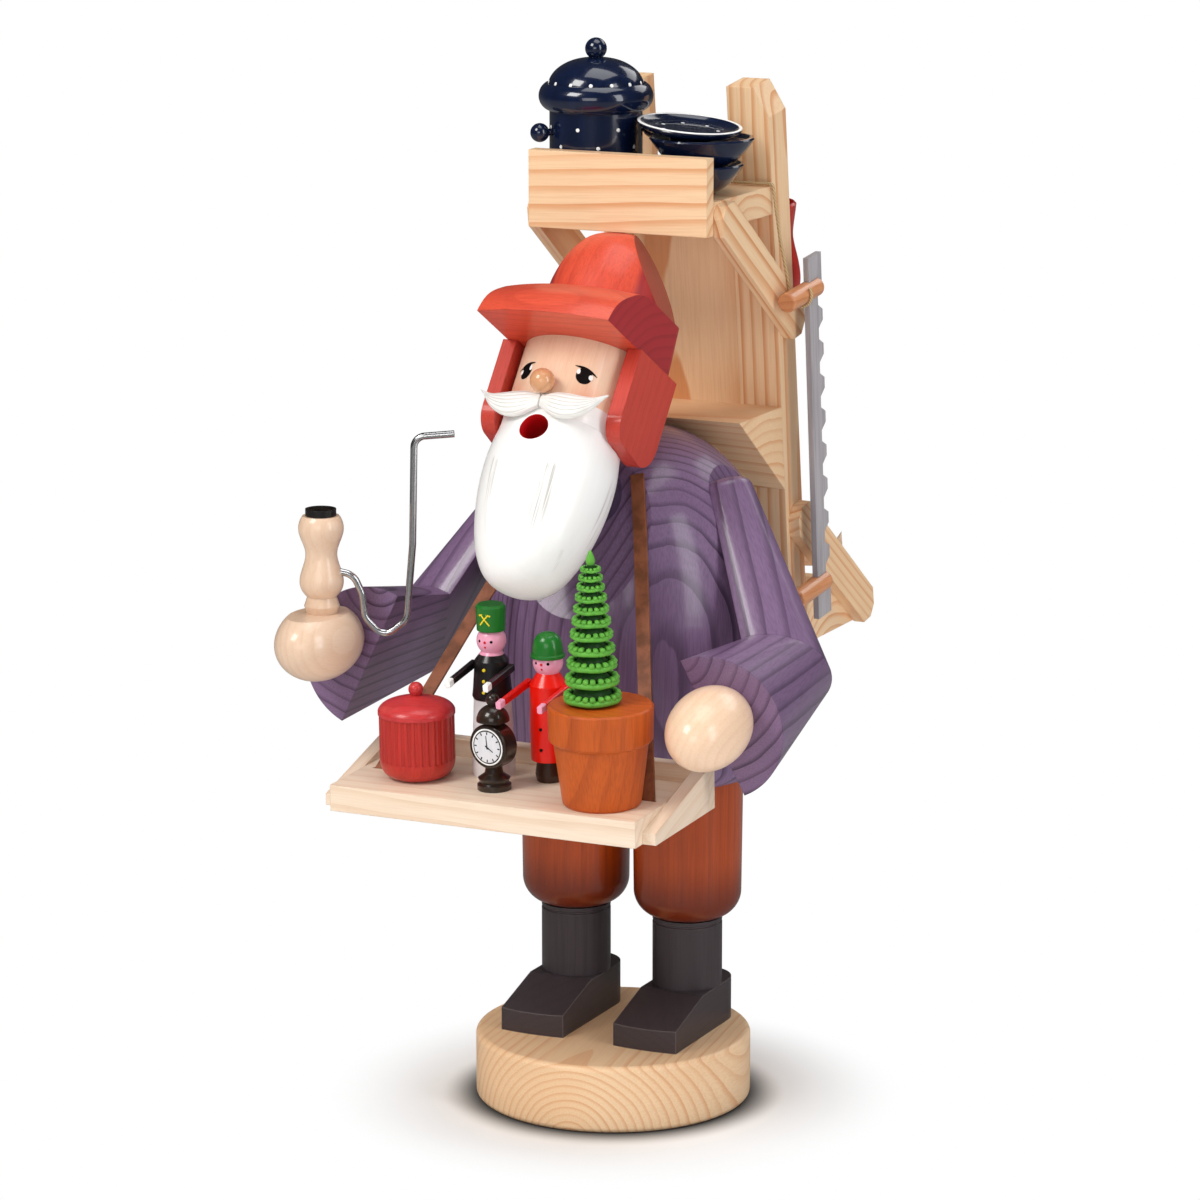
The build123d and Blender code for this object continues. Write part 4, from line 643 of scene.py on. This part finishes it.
def facePatch(pile, s0, z0, halfS, halfZ, off):
    rings = [[facePoint(s0, z0, off)] * 28]
    for share in (0.35, 0.7, 1.0):
        ring = []
        for i in range(28):
            a = 2 * pi * i / 28
            ring.append(facePoint(s0 + halfS * share * cos(a), z0 + halfZ * share * sin(a), off))
        rings.append(ring)
    pile.put(*grid(rings, wrapColumns=True))


def faceLine(pile, points, wide, off):
    rows = []
    for i, (s, z) in enumerate(points):
        before = points[max(i - 1, 0)]
        after = points[min(i + 1, len(points) - 1)]
        ds, dz = after[0] - before[0], after[1] - before[1]
        size = sqrt(ds * ds + dz * dz)
        share = sin(pi * (i + 0.4) / (len(points) - 0.2))
        half = wide * share / 2 + 0.05
        rows.append([facePoint(s - dz / size * half, z + ds / size * half, off),
                     facePoint(s + dz / size * half, z - ds / size * half, off)])
    pile.put(*grid(rows))


eye = {"s": 14.2, "z": 8.6, "irisS": 3.5, "irisZ": 3.7, "irisDrop": 0.4,
       "lidIn": -4.8, "lidOut": 5.6, "lidRise": 3.2, "lidFall": 2.3, "lidBow": 0.8, "lidWide": 1.3,
       "inner": (-2.75, 1.0, 0.8, 1.25), "outer": (3.0, -0.2, 1.0, 1.2)}
eyeBlack, eyeGlint = Pile(), Pile()
for side in (-1, 1):
    facePatch(eyeBlack, side * eye["s"], eye["z"] - eye["irisDrop"], eye["irisS"], eye["irisZ"], 0.1)
    for where in ("inner", "outer"):
        ds, dz, halfS, halfZ = eye[where]
        facePatch(eyeGlint, side * (eye["s"] + ds), eye["z"] + dz, halfS, halfZ, 0.16)
    lid = []
    for i in range(15):
        t = i / 14
        reach = eye["lidIn"] + (eye["lidOut"] - eye["lidIn"]) * t
        rise = eye["lidRise"] - eye["lidFall"] * t + eye["lidBow"] * sin(pi * t)
        lid.append((side * (eye["s"] + reach), eye["z"] + rise))
    faceLine(eyeBlack, lid, eye["lidWide"], 0.2)
black = paint("eyeBlack",
              {"colour": "080606", "second": "120E0C", "rough": 0.5, "spec": 0.2, "ease": 0.1,
               "bump": 0.03})
white = paint("eyeWhite",
              {"colour": "FBFAF8", "second": "F0EDE8", "rough": 0.35, "coat": 0.3, "ease": 0.1,
               "bump": 0.03})
meshPiece("eyeBlacks", eyeBlack.points, eyeBlack.faces, black, "figure")
meshPiece("eyeGlints", eyeGlint.points, eyeGlint.faces, white, "figure")


# Moustache: two carved leaves with grooves along them
hair = {"length": 29.0, "root": 0.35, "rows": 72, "columns": 112, "grooves": 6, "depth": 0.28,
        "middle": -27.6, "sweep": 1.2, "roll": 0.038,
        "top": [-4.6, -3.5, -3.6, -4.4, -4.8, -2.8], "low": [-10.6, -14.0, -15.2, -14.0, -10.2, -3.6],
        "thick": [2.0, 3.0, 3.2, 2.9, 2.2, 0.5]}


def along(values, u):
    # Smooth curve through evenly spaced values
    place = u * (len(values) - 1)
    i = min(int(place), len(values) - 2)
    t = place - i
    a, b = values[i], values[i + 1]
    before = values[max(i - 1, 0)]
    after = values[min(i + 2, len(values) - 1)]
    da, db = (b - before) / 2, (after - a) / 2
    return a + t * (da + t * (3 * (b - a) - 2 * da - db + t * (2 * (a - b) + da + db)))


def moustacheHalf(side):
    rows, grooves = [], []
    for i in range(hair["rows"] + 1):
        u = i / hair["rows"]
        x = hair["root"] + hair["length"] * u
        top, low, thick = along(hair["top"], u), along(hair["low"], u), along(hair["thick"], u)
        middle, half = (top + low) / 2, (top - low) / 2
        depth = hair["middle"] + hair["sweep"] * u * u
        row = []
        for j in range(hair["columns"]):
            a = 2 * pi * j / hair["columns"]
            across, out = cos(a), sin(a)
            wave = 0.5 + 0.5 * cos(hair["grooves"] * pi * (across + 0.22 * sin(3 * u)))
            groove = max(out, 0.0) ** 0.5 * wave ** 4 * min(1.0, 5 * u, 6 * (1 - u) + 0.1)
            push = thick * (abs(out) ** 0.8 if out > 0 else -0.55 * abs(out) ** 0.5) - hair["depth"] * groove
            row.append(inHead(side * x, depth - push, middle + half * across + hair["roll"] * side * x))
            grooves.append(groove)
        rows.append(row)
    points, faces = grid(rows, wrapColumns=True)
    wide = hair["columns"]
    faces += [tuple(range(wide))[::-1], tuple(range(len(points) - wide, len(points)))]
    return points, faces if side > 0 else [face[::-1] for face in faces], grooves


hairPile = Pile()
grooveDepth = []
for side in (-1, 1):
    points, faces, grooves = moustacheHalf(side)
    hairPile.put(points, faces)
    grooveDepth += grooves
# Painted shade: the carved grooves are painted a greyer white
hairWhite = paint("hairWhite",
                  {"colour": "F3F1ED", "second": "D8D3CC", "stroke": 0.4, "along": (1, 0, 0), "rough": 0.34,
                                "coat": 0.35, "coatRough": 0.2, "ease": 0.3, "bump": 0.1,
                                "groove": "C6C1BA"})
moustache = meshPiece("moustacheCarved", hairPile.points, hairPile.faces, hairWhite, "figure")
moustache.data.attributes.new("groove", "FLOAT", "POINT").data.foreach_set("value", grooveDepth)
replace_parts(moustache, "moustache")
print("stage: face done")


# Ring tree: rolled rings with notches, on a thin trunk
tree = {"spot": (43.0, 20.0), "foot": 42.5, "height": 65.0, "rings": 11, "lowR": 12.2, "topR": 3.6,
        "notches": 21,
        "tip": 6.0, "trunk": 2.4, "closer": 0.42}
random.seed(7)
treePile = Pile()
treeShade = []


def treePoint(r, a, z):
    return onTray(tree["spot"], r * cos(a), r * sin(a), tree["foot"] + z)


def treeRoll(z, r, wide, high, a0=0.0, sweep=2 * pi, steps=48, sag=0.0):
    # Roll of the given section, round the trunk or along a part of the way
    closed = sweep > 6.2
    rows = []
    for i in range(steps):
        share = i / steps if closed else i / (steps - 1)
        a = a0 + sweep * share
        swell = 1.0 if closed else 0.72 + 0.28 * sin(pi * share)
        lift = sag * sin(5 * a + r)
        row = []
        for j in range(10):
            b = 2 * pi * j / 10
            row.append(treePoint(r + wide * swell * cos(b), a, z + lift + high * swell * sin(b)))
        rows.append(row)
    points, faces = grid(rows, wrapRows=closed, wrapColumns=True)
    if not closed:
        faces += [tuple(range(10))[::-1], tuple(range(len(points) - 10, len(points)))]
    treePile.put(points, faces)
    # Painted shade: the inner side of each roll is marked to be painted dark green
    treeShade.extend(max(0.0, -cos(2 * pi * (k % 10) / 10)) for k in range(len(points)))


def turnedShape(pile, place3, profile, steps=32):
    rows = [[place3(r, 2 * pi * i / steps, z) for i in range(steps)] for r, z in profile]
    points, faces = grid(rows, wrapColumns=True)
    faces += [tuple(range(steps))[::-1], tuple(range(len(points) - steps, len(points)))]
    pile.put(points, faces)


span = tree["height"] - tree["tip"]
core = [(tree["trunk"], 0.0)]


def ringLevel(share):
    return span * (share + tree["closer"] * share * (1 - share))


for i in range(tree["rings"]):
    z = ringLevel(i / tree["rings"])
    step = ringLevel((i + 1) / tree["rings"]) - z
    r = tree["lowR"] + (tree["topR"] - tree["lowR"]) * i / tree["rings"]
    thick = min(1.9, step * 0.3)
    treeRoll(z + step * 0.3, r - thick * 1.05, thick, step * 0.2, sag=0.12)
    count = max(9, int(tree["notches"] * (0.45 + 0.55 * r / tree["lowR"])))
    for k in range(count):
        start = 2 * pi * k / count + i * 0.7 + random.uniform(-0.03, 0.03)
        level = z + step * (0.55 + random.uniform(-0.03, 0.03))
        treeRoll(level, r - thick * 0.95, thick * 0.95, step * 0.2, start, 2 * pi / count * 0.68, 5)
    core += [(max(r - thick * 3.2, 1.1), z + step * 0.02), (max(r - thick * 1.6, 1.2), z + step * 0.4),
             (max(r - thick * 3.2, 1.1), z + step * 0.9)]
bud = [(1.7, span + 0.4), (2.0, span + 1.5), (1.5, span + 3.4)]
bud += [(0.8, tree["height"] - 0.9), (0.2, tree["height"])]
turnedShape(treePile, treePoint, core + bud)
# Painted shade: the core between the rolls is marked dark, the bud is not
treeShade += [1.0] * 32 * len(core) + [0.0] * 32 * len(bud)
treeLeaf = paint("treeGreen", treeGreen)
treeRings = meshPiece("treeRolls", treePile.points, treePile.faces, treeLeaf, "figure")
treeRings.data.attributes.new("groove", "FLOAT", "POINT").data.foreach_set("value", treeShade)
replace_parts(treeRings, "ring_tree")
print("stage: tree done")


# Clock dial
clock = {"spot": (-4.4, 22.0), "drumZ": 19.0, "face": -4.25, "yaw": radians(-10),
         "outer": 7.9, "ring": 7.2, "inner": 6.7}


def dialPoint(x, z, off):
    y = clock["face"] - off
    c, s = cos(clock["yaw"]), sin(clock["yaw"])
    return onTray(clock["spot"], x * c - y * s, x * s + y * c, clock["drumZ"] + z)


def dialDisc(pile, r, off, steps=48):
    rows = [[dialPoint(0, 0, off)] * steps]
    for share, drop in ((1.0, 0.0), (1.0, off)):
        row = []
        for i in range(steps):
            a = 2 * pi * i / steps
            row.append(dialPoint(r * share * cos(a), r * share * sin(a), off - drop))
        rows.append(row)
    pile.put(*grid(rows, wrapColumns=True))


def dialBar(pile, angle, r0, r1, wide0, wide1, off):
    # Angle clockwise from twelve, as seen from the front
    way = Vector((sin(angle), cos(angle)))
    side = Vector((way.y, -way.x))
    corners = [way * r0 + side * wide0, way * r1 + side * wide1]
    corners += [way * r1 - side * wide1, way * r0 - side * wide0]
    top = [dialPoint(c.x, c.y, off) for c in corners]
    low = [dialPoint(c.x, c.y, off - 0.12) for c in corners]
    pile.put(top + low, [(0, 1, 2, 3), (0, 4, 5, 1), (1, 5, 6, 2), (2, 6, 7, 3), (3, 7, 4, 0)])


dialWhite, dialBlack, dialSilver = Pile(), Pile(), Pile()
dialDisc(dialWhite, clock["outer"], 0.12)
dialDisc(dialBlack, clock["ring"], 0.2)
dialDisc(dialSilver, clock["inner"], 0.28)
for hour in range(12):
    dialBar(dialBlack, hour * pi / 6, 5.4, 6.5, 0.22, 0.26, 0.4)
dialBar(dialBlack, 0.0 - radians(6), -0.9, 5.0, 0.24, 0.1, 0.5)
dialBar(dialBlack, radians(120), -0.9, 3.6, 0.28, 0.14, 0.5)
silver = paint("dialSilver",
               {"colour": "E6E6EA", "second": "CFCFD6", "stroke": 0.3, "rough": 0.3, "coat": 0.3,
                "ease": 0.1,
                              "bump": 0.03})
meshPiece("dialRim", dialWhite.points, dialWhite.faces, white, "figure", smooth=False)
meshPiece("dialMarks", dialBlack.points, dialBlack.faces, black, "figure", smooth=False)
meshPiece("dialFace", dialSilver.points, dialSilver.faces, silver, "figure", smooth=False)


# Toy people: arms, faces, buttons, and the crossed hammers of the miner's hat
trayUp = trayFrame.to_3x3() @ Vector((0, 0, 1))
people = {
    "miner": {"spot": (-14.8, 42.5), "shoulder": 9.0, "hand": 8.9, "length": 24.0, "armZ": 47.0,
              "headR": 6.3, "headZ": 58.4, "buttons": [37.4, 42.2, 47.0], "node": "toy_miner"},
    "toyman": {"spot": (11.6, 42.5), "shoulder": 9.4, "hand": 9.6, "length": 28.0, "armZ": 41.5,
               "headR": 6.4, "headZ": 51.5, "buttons": [15.0, 24.0, 33.5], "node": "toy_man"},
}
sleeve = {"miner": Pile(), "toyman": Pile()}
mitten = {"miner": Pile(), "toyman": Pile()}
button = {"miner": Pile(), "toyman": Pile()}
faceDark, faceRed = Pile(), Pile()
for name, who in people.items():
    spot = who["spot"]
    for side in (-1, 1):
        root = onTray(spot, side * who["shoulder"], 1.6, who["armZ"] + 0.2)
        tip = onTray(spot, side * who["hand"], -who["length"], who["armZ"] - 3.0)
        wrist = root.lerp(tip, 0.86)
        sleeve[name].bar(root, wrist, trayUp, 2.5 * mm, 3.4 * mm, 0.94)
        mitten[name].bar(wrist, tip, trayUp, 2.6 * mm, 3.5 * mm, 0.94)
        turn = radians(26) * side
        r = who["headR"]
        at = onTray(spot, r * sin(turn), -r * cos(turn), who["headZ"] + 0.6)
        faceDark.dome(*onto(who["node"], at), 0.62 * mm, 0.15 * mm)
    for turn, up, size in ((0.0, 0.2, 0.62), (0.0, -1.9, 0.5)):
        r = who["headR"] * cos(up / who["headR"])
        at = onTray(spot, r * sin(turn), -r * cos(turn), who["headZ"] + up)
        faceRed.dome(*onto(who["node"], at), size * mm, 0.15 * mm)
    for z in who["buttons"]:
        button[name].dome(*onto(who["node"], onTray(spot, 0, -9, z)), 0.75 * mm, 0.3 * mm)
blackCloth = paint("minerBlack",
                   {"colour": "1A1718", "second": "2C2728", "stroke": 0.4, "rough": 0.35, "coat": 0.35,
                    "ease": 0.3,
                                  "bump": 0.05})
redCloth = paint("toymanRed",
                 {"colour": "EE1C10", "second": "C8120A", "stroke": 0.4, "rough": 0.35, "coat": 0.35,
                  "ease": 0.3,
                               "bump": 0.05})
pinkSkin = paint("toyPink",
                 {"colour": "F3A6C0", "second": "E58FAE", "stroke": 0.3, "rough": 0.35, "coat": 0.35,
                  "ease": 0.3,
                             "bump": 0.05})
yellow = paint("buttonYellow",
               {"colour": "F2D51C", "second": "D9B812", "stroke": 0.3, "rough": 0.35, "coat": 0.3,
                "ease": 0.1,
                                "bump": 0.03})
lipRed = paint("lipRed",
               {"colour": "D81E1E", "second": "A81010", "stroke": 0.3, "rough": 0.4, "ease": 0.1,
                "bump": 0.03})
limbs = [("minerSleeves", sleeve["miner"], blackCloth, "miner_paint"),
         ("toymanSleeves", sleeve["toyman"], redCloth, "toyman_paint"),
         ("minerGloves", mitten["miner"], white, "white_paint"),
         ("toymanHands", mitten["toyman"], pinkSkin, "toyman_paint")]
for name, pile, mat, slotName in limbs:
    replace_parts(meshPiece(name, pile.points, pile.faces, mat, "figure", False), "toy_arms")
meshPiece("minerButtons", button["miner"].points, button["miner"].faces, yellow, "figure")
meshPiece("toymanButtons", button["toyman"].points, button["toyman"].faces, black, "figure")
meshPiece("toyEyes", faceDark.points, faceDark.faces, black, "figure")
meshPiece("toyLips", faceRed.points, faceRed.faces, lipRed, "figure")
hammers = Pile()


def hatPoint(x, z, off):
    r = 6.25 + off
    return onTray(people["miner"]["spot"], r * sin(x / 6.25), -r * cos(x / 6.25), 68.6 + z)


def hatStroke(x0, z0, x1, z1, wide):
    rows = []
    dx, dz = x1 - x0, z1 - z0
    size = sqrt(dx * dx + dz * dz)
    nx, nz = -dz / size * wide / 2, dx / size * wide / 2
    for i in range(7):
        t = i / 6
        x, z = x0 + dx * t, z0 + dz * t
        rows.append([hatPoint(x - nx, z - nz, 0.12), hatPoint(x + nx, z + nz, 0.12)])
    hammers.put(*grid(rows))


for side in (-1, 1):
    hatStroke(-side * 2.2, -2.6, side * 1.8, 2.2, 0.6)
    hatStroke(side * 0.8, 2.5, side * 2.6, 1.4, 0.75)
meshPiece("hatHammers", hammers.points, hammers.faces, yellow, "figure", False)
print("stage: toys done")


# White dots and rims on the navy pots
pots = {"axis": (-23.5, 32.0), "dot": 0.85, "lift": 0.12,
        "potRows": [(426.8, 0.3), (419.0, 0.8), (408.0, 0.3)],
        "potCount": 7, "lidRow": 446.8, "lidCount": 14}
plate = {"at": (18.8, 36.0, 421.8), "turn": 25.0, "tilt": (4.0, 5.0), "rimR": 22.2, "rimZ": 7.55,
         "band": 0.75,
         "high": 0.35, "dotR": 12.5, "dotCount": 7}
dots = {"figure": Pile(), "tureen_cover": Pile()}


def potDot(body, node, z, turn):
    x, y = pots["axis"]
    at = Vector((x + 23 * cos(turn), y + 23 * sin(turn), z)) * mm
    dots[body].dome(*onto(node, at), pots["dot"] * mm, pots["lift"] * mm)


for z, shift in pots["potRows"]:
    for k in range(pots["potCount"]):
        potDot("figure", "tureen_pot", z, 2 * pi * (k + shift) / pots["potCount"])
for k in range(pots["lidCount"]):
    potDot("tureen_cover", "tureen_lid", pots["lidRow"], 2 * pi * (k + 0.25) / pots["lidCount"])
plateFrame = Matrix.Translation(Vector(plate["at"]) * mm) @ Matrix.Rotation(radians(plate["turn"]), 4, "Z")
plateFrame = plateFrame @ Matrix.Rotation(radians(plate["tilt"][0]), 4, "X")
plateFrame = plateFrame @ Matrix.Rotation(radians(plate["tilt"][1]), 4, "Y")
for k in range(plate["dotCount"]):
    a = 2 * pi * k / plate["dotCount"]
    at = plateFrame @ (Vector((plate["dotR"] * cos(a), plate["dotR"] * sin(a), 5.0)) * mm)
    dots["figure"].dome(*onto("enamel_bowls", at), pots["dot"] * mm, pots["lift"] * mm)
rimPile = Pile()
rows = []
for i in range(72):
    a = 2 * pi * i / 72
    row = []
    for j in range(10):
        b = 2 * pi * j / 10
        r = plate["rimR"] + plate["band"] * cos(b)
        z = plate["rimZ"] + plate["high"] * sin(b)
        row.append(plateFrame @ (Vector((r * cos(a), r * sin(a), z)) * mm))
    rows.append(row)
rimPile.put(*grid(rows, wrapRows=True, wrapColumns=True))
meshPiece("plateRim", rimPile.points, rimPile.faces, white, "figure")
meshPiece("potDots", dots["figure"].points, dots["figure"].faces, white, "figure")
lidPile = dots["tureen_cover"]
meshPiece("lidDots", lidPile.points, lidPile.faces, white, "tureen_cover")
print("stage: pots done")


# Floor, light and camera
def floorMat():
    mat, tree, bsdf = blank("paleFloor")
    spot = add(tree, "TexCoord").outputs["Object"]
    away = add(tree, "VectorMath", {0: spot}, operation="LENGTH").outputs["Value"]
    speck = add(tree, "TexNoise", {"Vector": spot, "Scale": 40.0, "Detail": 2.0}).outputs[0]
    rays = add(tree, "LightPath").outputs
    tone = mixColour(tree, speck, (0.95, 0.95, 0.95, 1), (0.97, 0.97, 0.97, 1))
    tone = mixColour(tree, calc(tree, "MULTIPLY", rays["Is Glossy Ray"], 0.8), tone, (0.08, 0.08, 0.08, 1))
    # Painted contact shadow: the floor is dark close round the base
    tone = mixColour(tree, ramp(tree, away, 0.078, 0.058), tone, (0.06, 0.06, 0.06, 1))
    wire(tree, bsdf.inputs["Base Color"], tone)
    bsdf.inputs["Roughness"].default_value = 0.6
    bsdf.inputs["Specular IOR Level"].default_value = 0.2
    glow = add(tree, "Emission", {"Color": (1, 1, 1, 1), "Strength": 1.0})
    far = calc(tree, "MULTIPLY", ramp(tree, away, 0.066, 0.13), rays["Is Camera Ray"])
    mix = add(tree, "MixShader", {0: far, 1: bsdf.outputs[0], 2: glow.outputs[0]})
    wire(tree, tree.nodes["Material Output"].inputs["Surface"], mix.outputs[0])
    return mat


floorMesh = bpy.data.meshes.new("floor")
floorMesh.from_pydata([(-14, -6, 0), (14, -6, 0), (14, 22, 0), (-14, 22, 0)], [], [(0, 1, 2, 3)])
floor = bpy.data.objects.new("floor", floorMesh)
bpy.context.scene.collection.objects.link(floor)
floorMesh.materials.append(floorMat())

lamps = {
    "keyLamp": {"at": (-0.85, -1.55, 1.85), "size": (0.9, 0.9), "power": 31.0,
                "colour": (1.0, 0.985, 0.96)},
    "frontLamp": {"at": (0.5, -2.3, 0.8), "size": (1.2, 0.8), "power": 9.0, "colour": (1.0, 0.99, 0.98)},
    "sideLamp": {"at": (1.8, -0.5, 0.9), "size": (0.5, 1.5), "power": 12.0, "colour": (0.97, 0.985, 1.0)},
    "topLamp": {"at": (0.2, 0.0, 2.0), "size": (1.2, 1.2), "power": 12.0, "colour": (1.0, 1.0, 1.0)},
    "rearLamp": {"at": (0.6, 1.7, 1.5), "size": (1.4, 0.8), "power": 7.0, "colour": (1.0, 1.0, 1.0)},
}
aim = Vector((0, 0, 0.22))
for name, lamp in lamps.items():
    data = bpy.data.lights.new(name, "AREA")
    data.shape = "RECTANGLE"
    data.size, data.size_y = lamp["size"]
    data.energy = lamp["power"]
    data.color = lamp["colour"]
    made = bpy.data.objects.new(name, data)
    made.location = lamp["at"]
    made.rotation_euler = (aim - Vector(lamp["at"])).to_track_quat("-Z", "Y").to_euler()
    bpy.context.scene.collection.objects.link(made)

world = bpy.data.worlds.new("studio")
bpy.context.scene.world = world
world.use_nodes = True
backdrop = world.node_tree.nodes["Background"]
backdrop.inputs["Color"].default_value = (1, 1, 1, 1)
worldTree = world.node_tree
rays = add(worldTree, "LightPath").outputs
glow = calc(worldTree, "ADD", calc(worldTree, "MULTIPLY", rays["Is Camera Ray"], 0.74), 0.26)
glow = calc(worldTree, "SUBTRACT", glow, calc(worldTree, "MULTIPLY", rays["Is Glossy Ray"], 0.22))
wire(worldTree, backdrop.inputs["Strength"], glow)

turn, pitch = radians(25.384), radians(12.34)
look = Vector((-sin(turn) * cos(pitch), cos(turn) * cos(pitch), -sin(pitch)))
camData = bpy.data.cameras.new("photoCamera")
camData.sensor_width = 36.0
camData.lens = 141.1
camData.shift_x = -0.011
camera = bpy.data.objects.new("photoCamera", camData)
camera.location = (0.8594, -1.8113, 0.6625)
camera.rotation_euler = look.to_track_quat("-Z", "Y").to_euler()
bpy.context.scene.collection.objects.link(camera)
bpy.context.scene.camera = camera
bpy.context.scene.view_settings.view_transform = "Standard"
print("stage: light done")
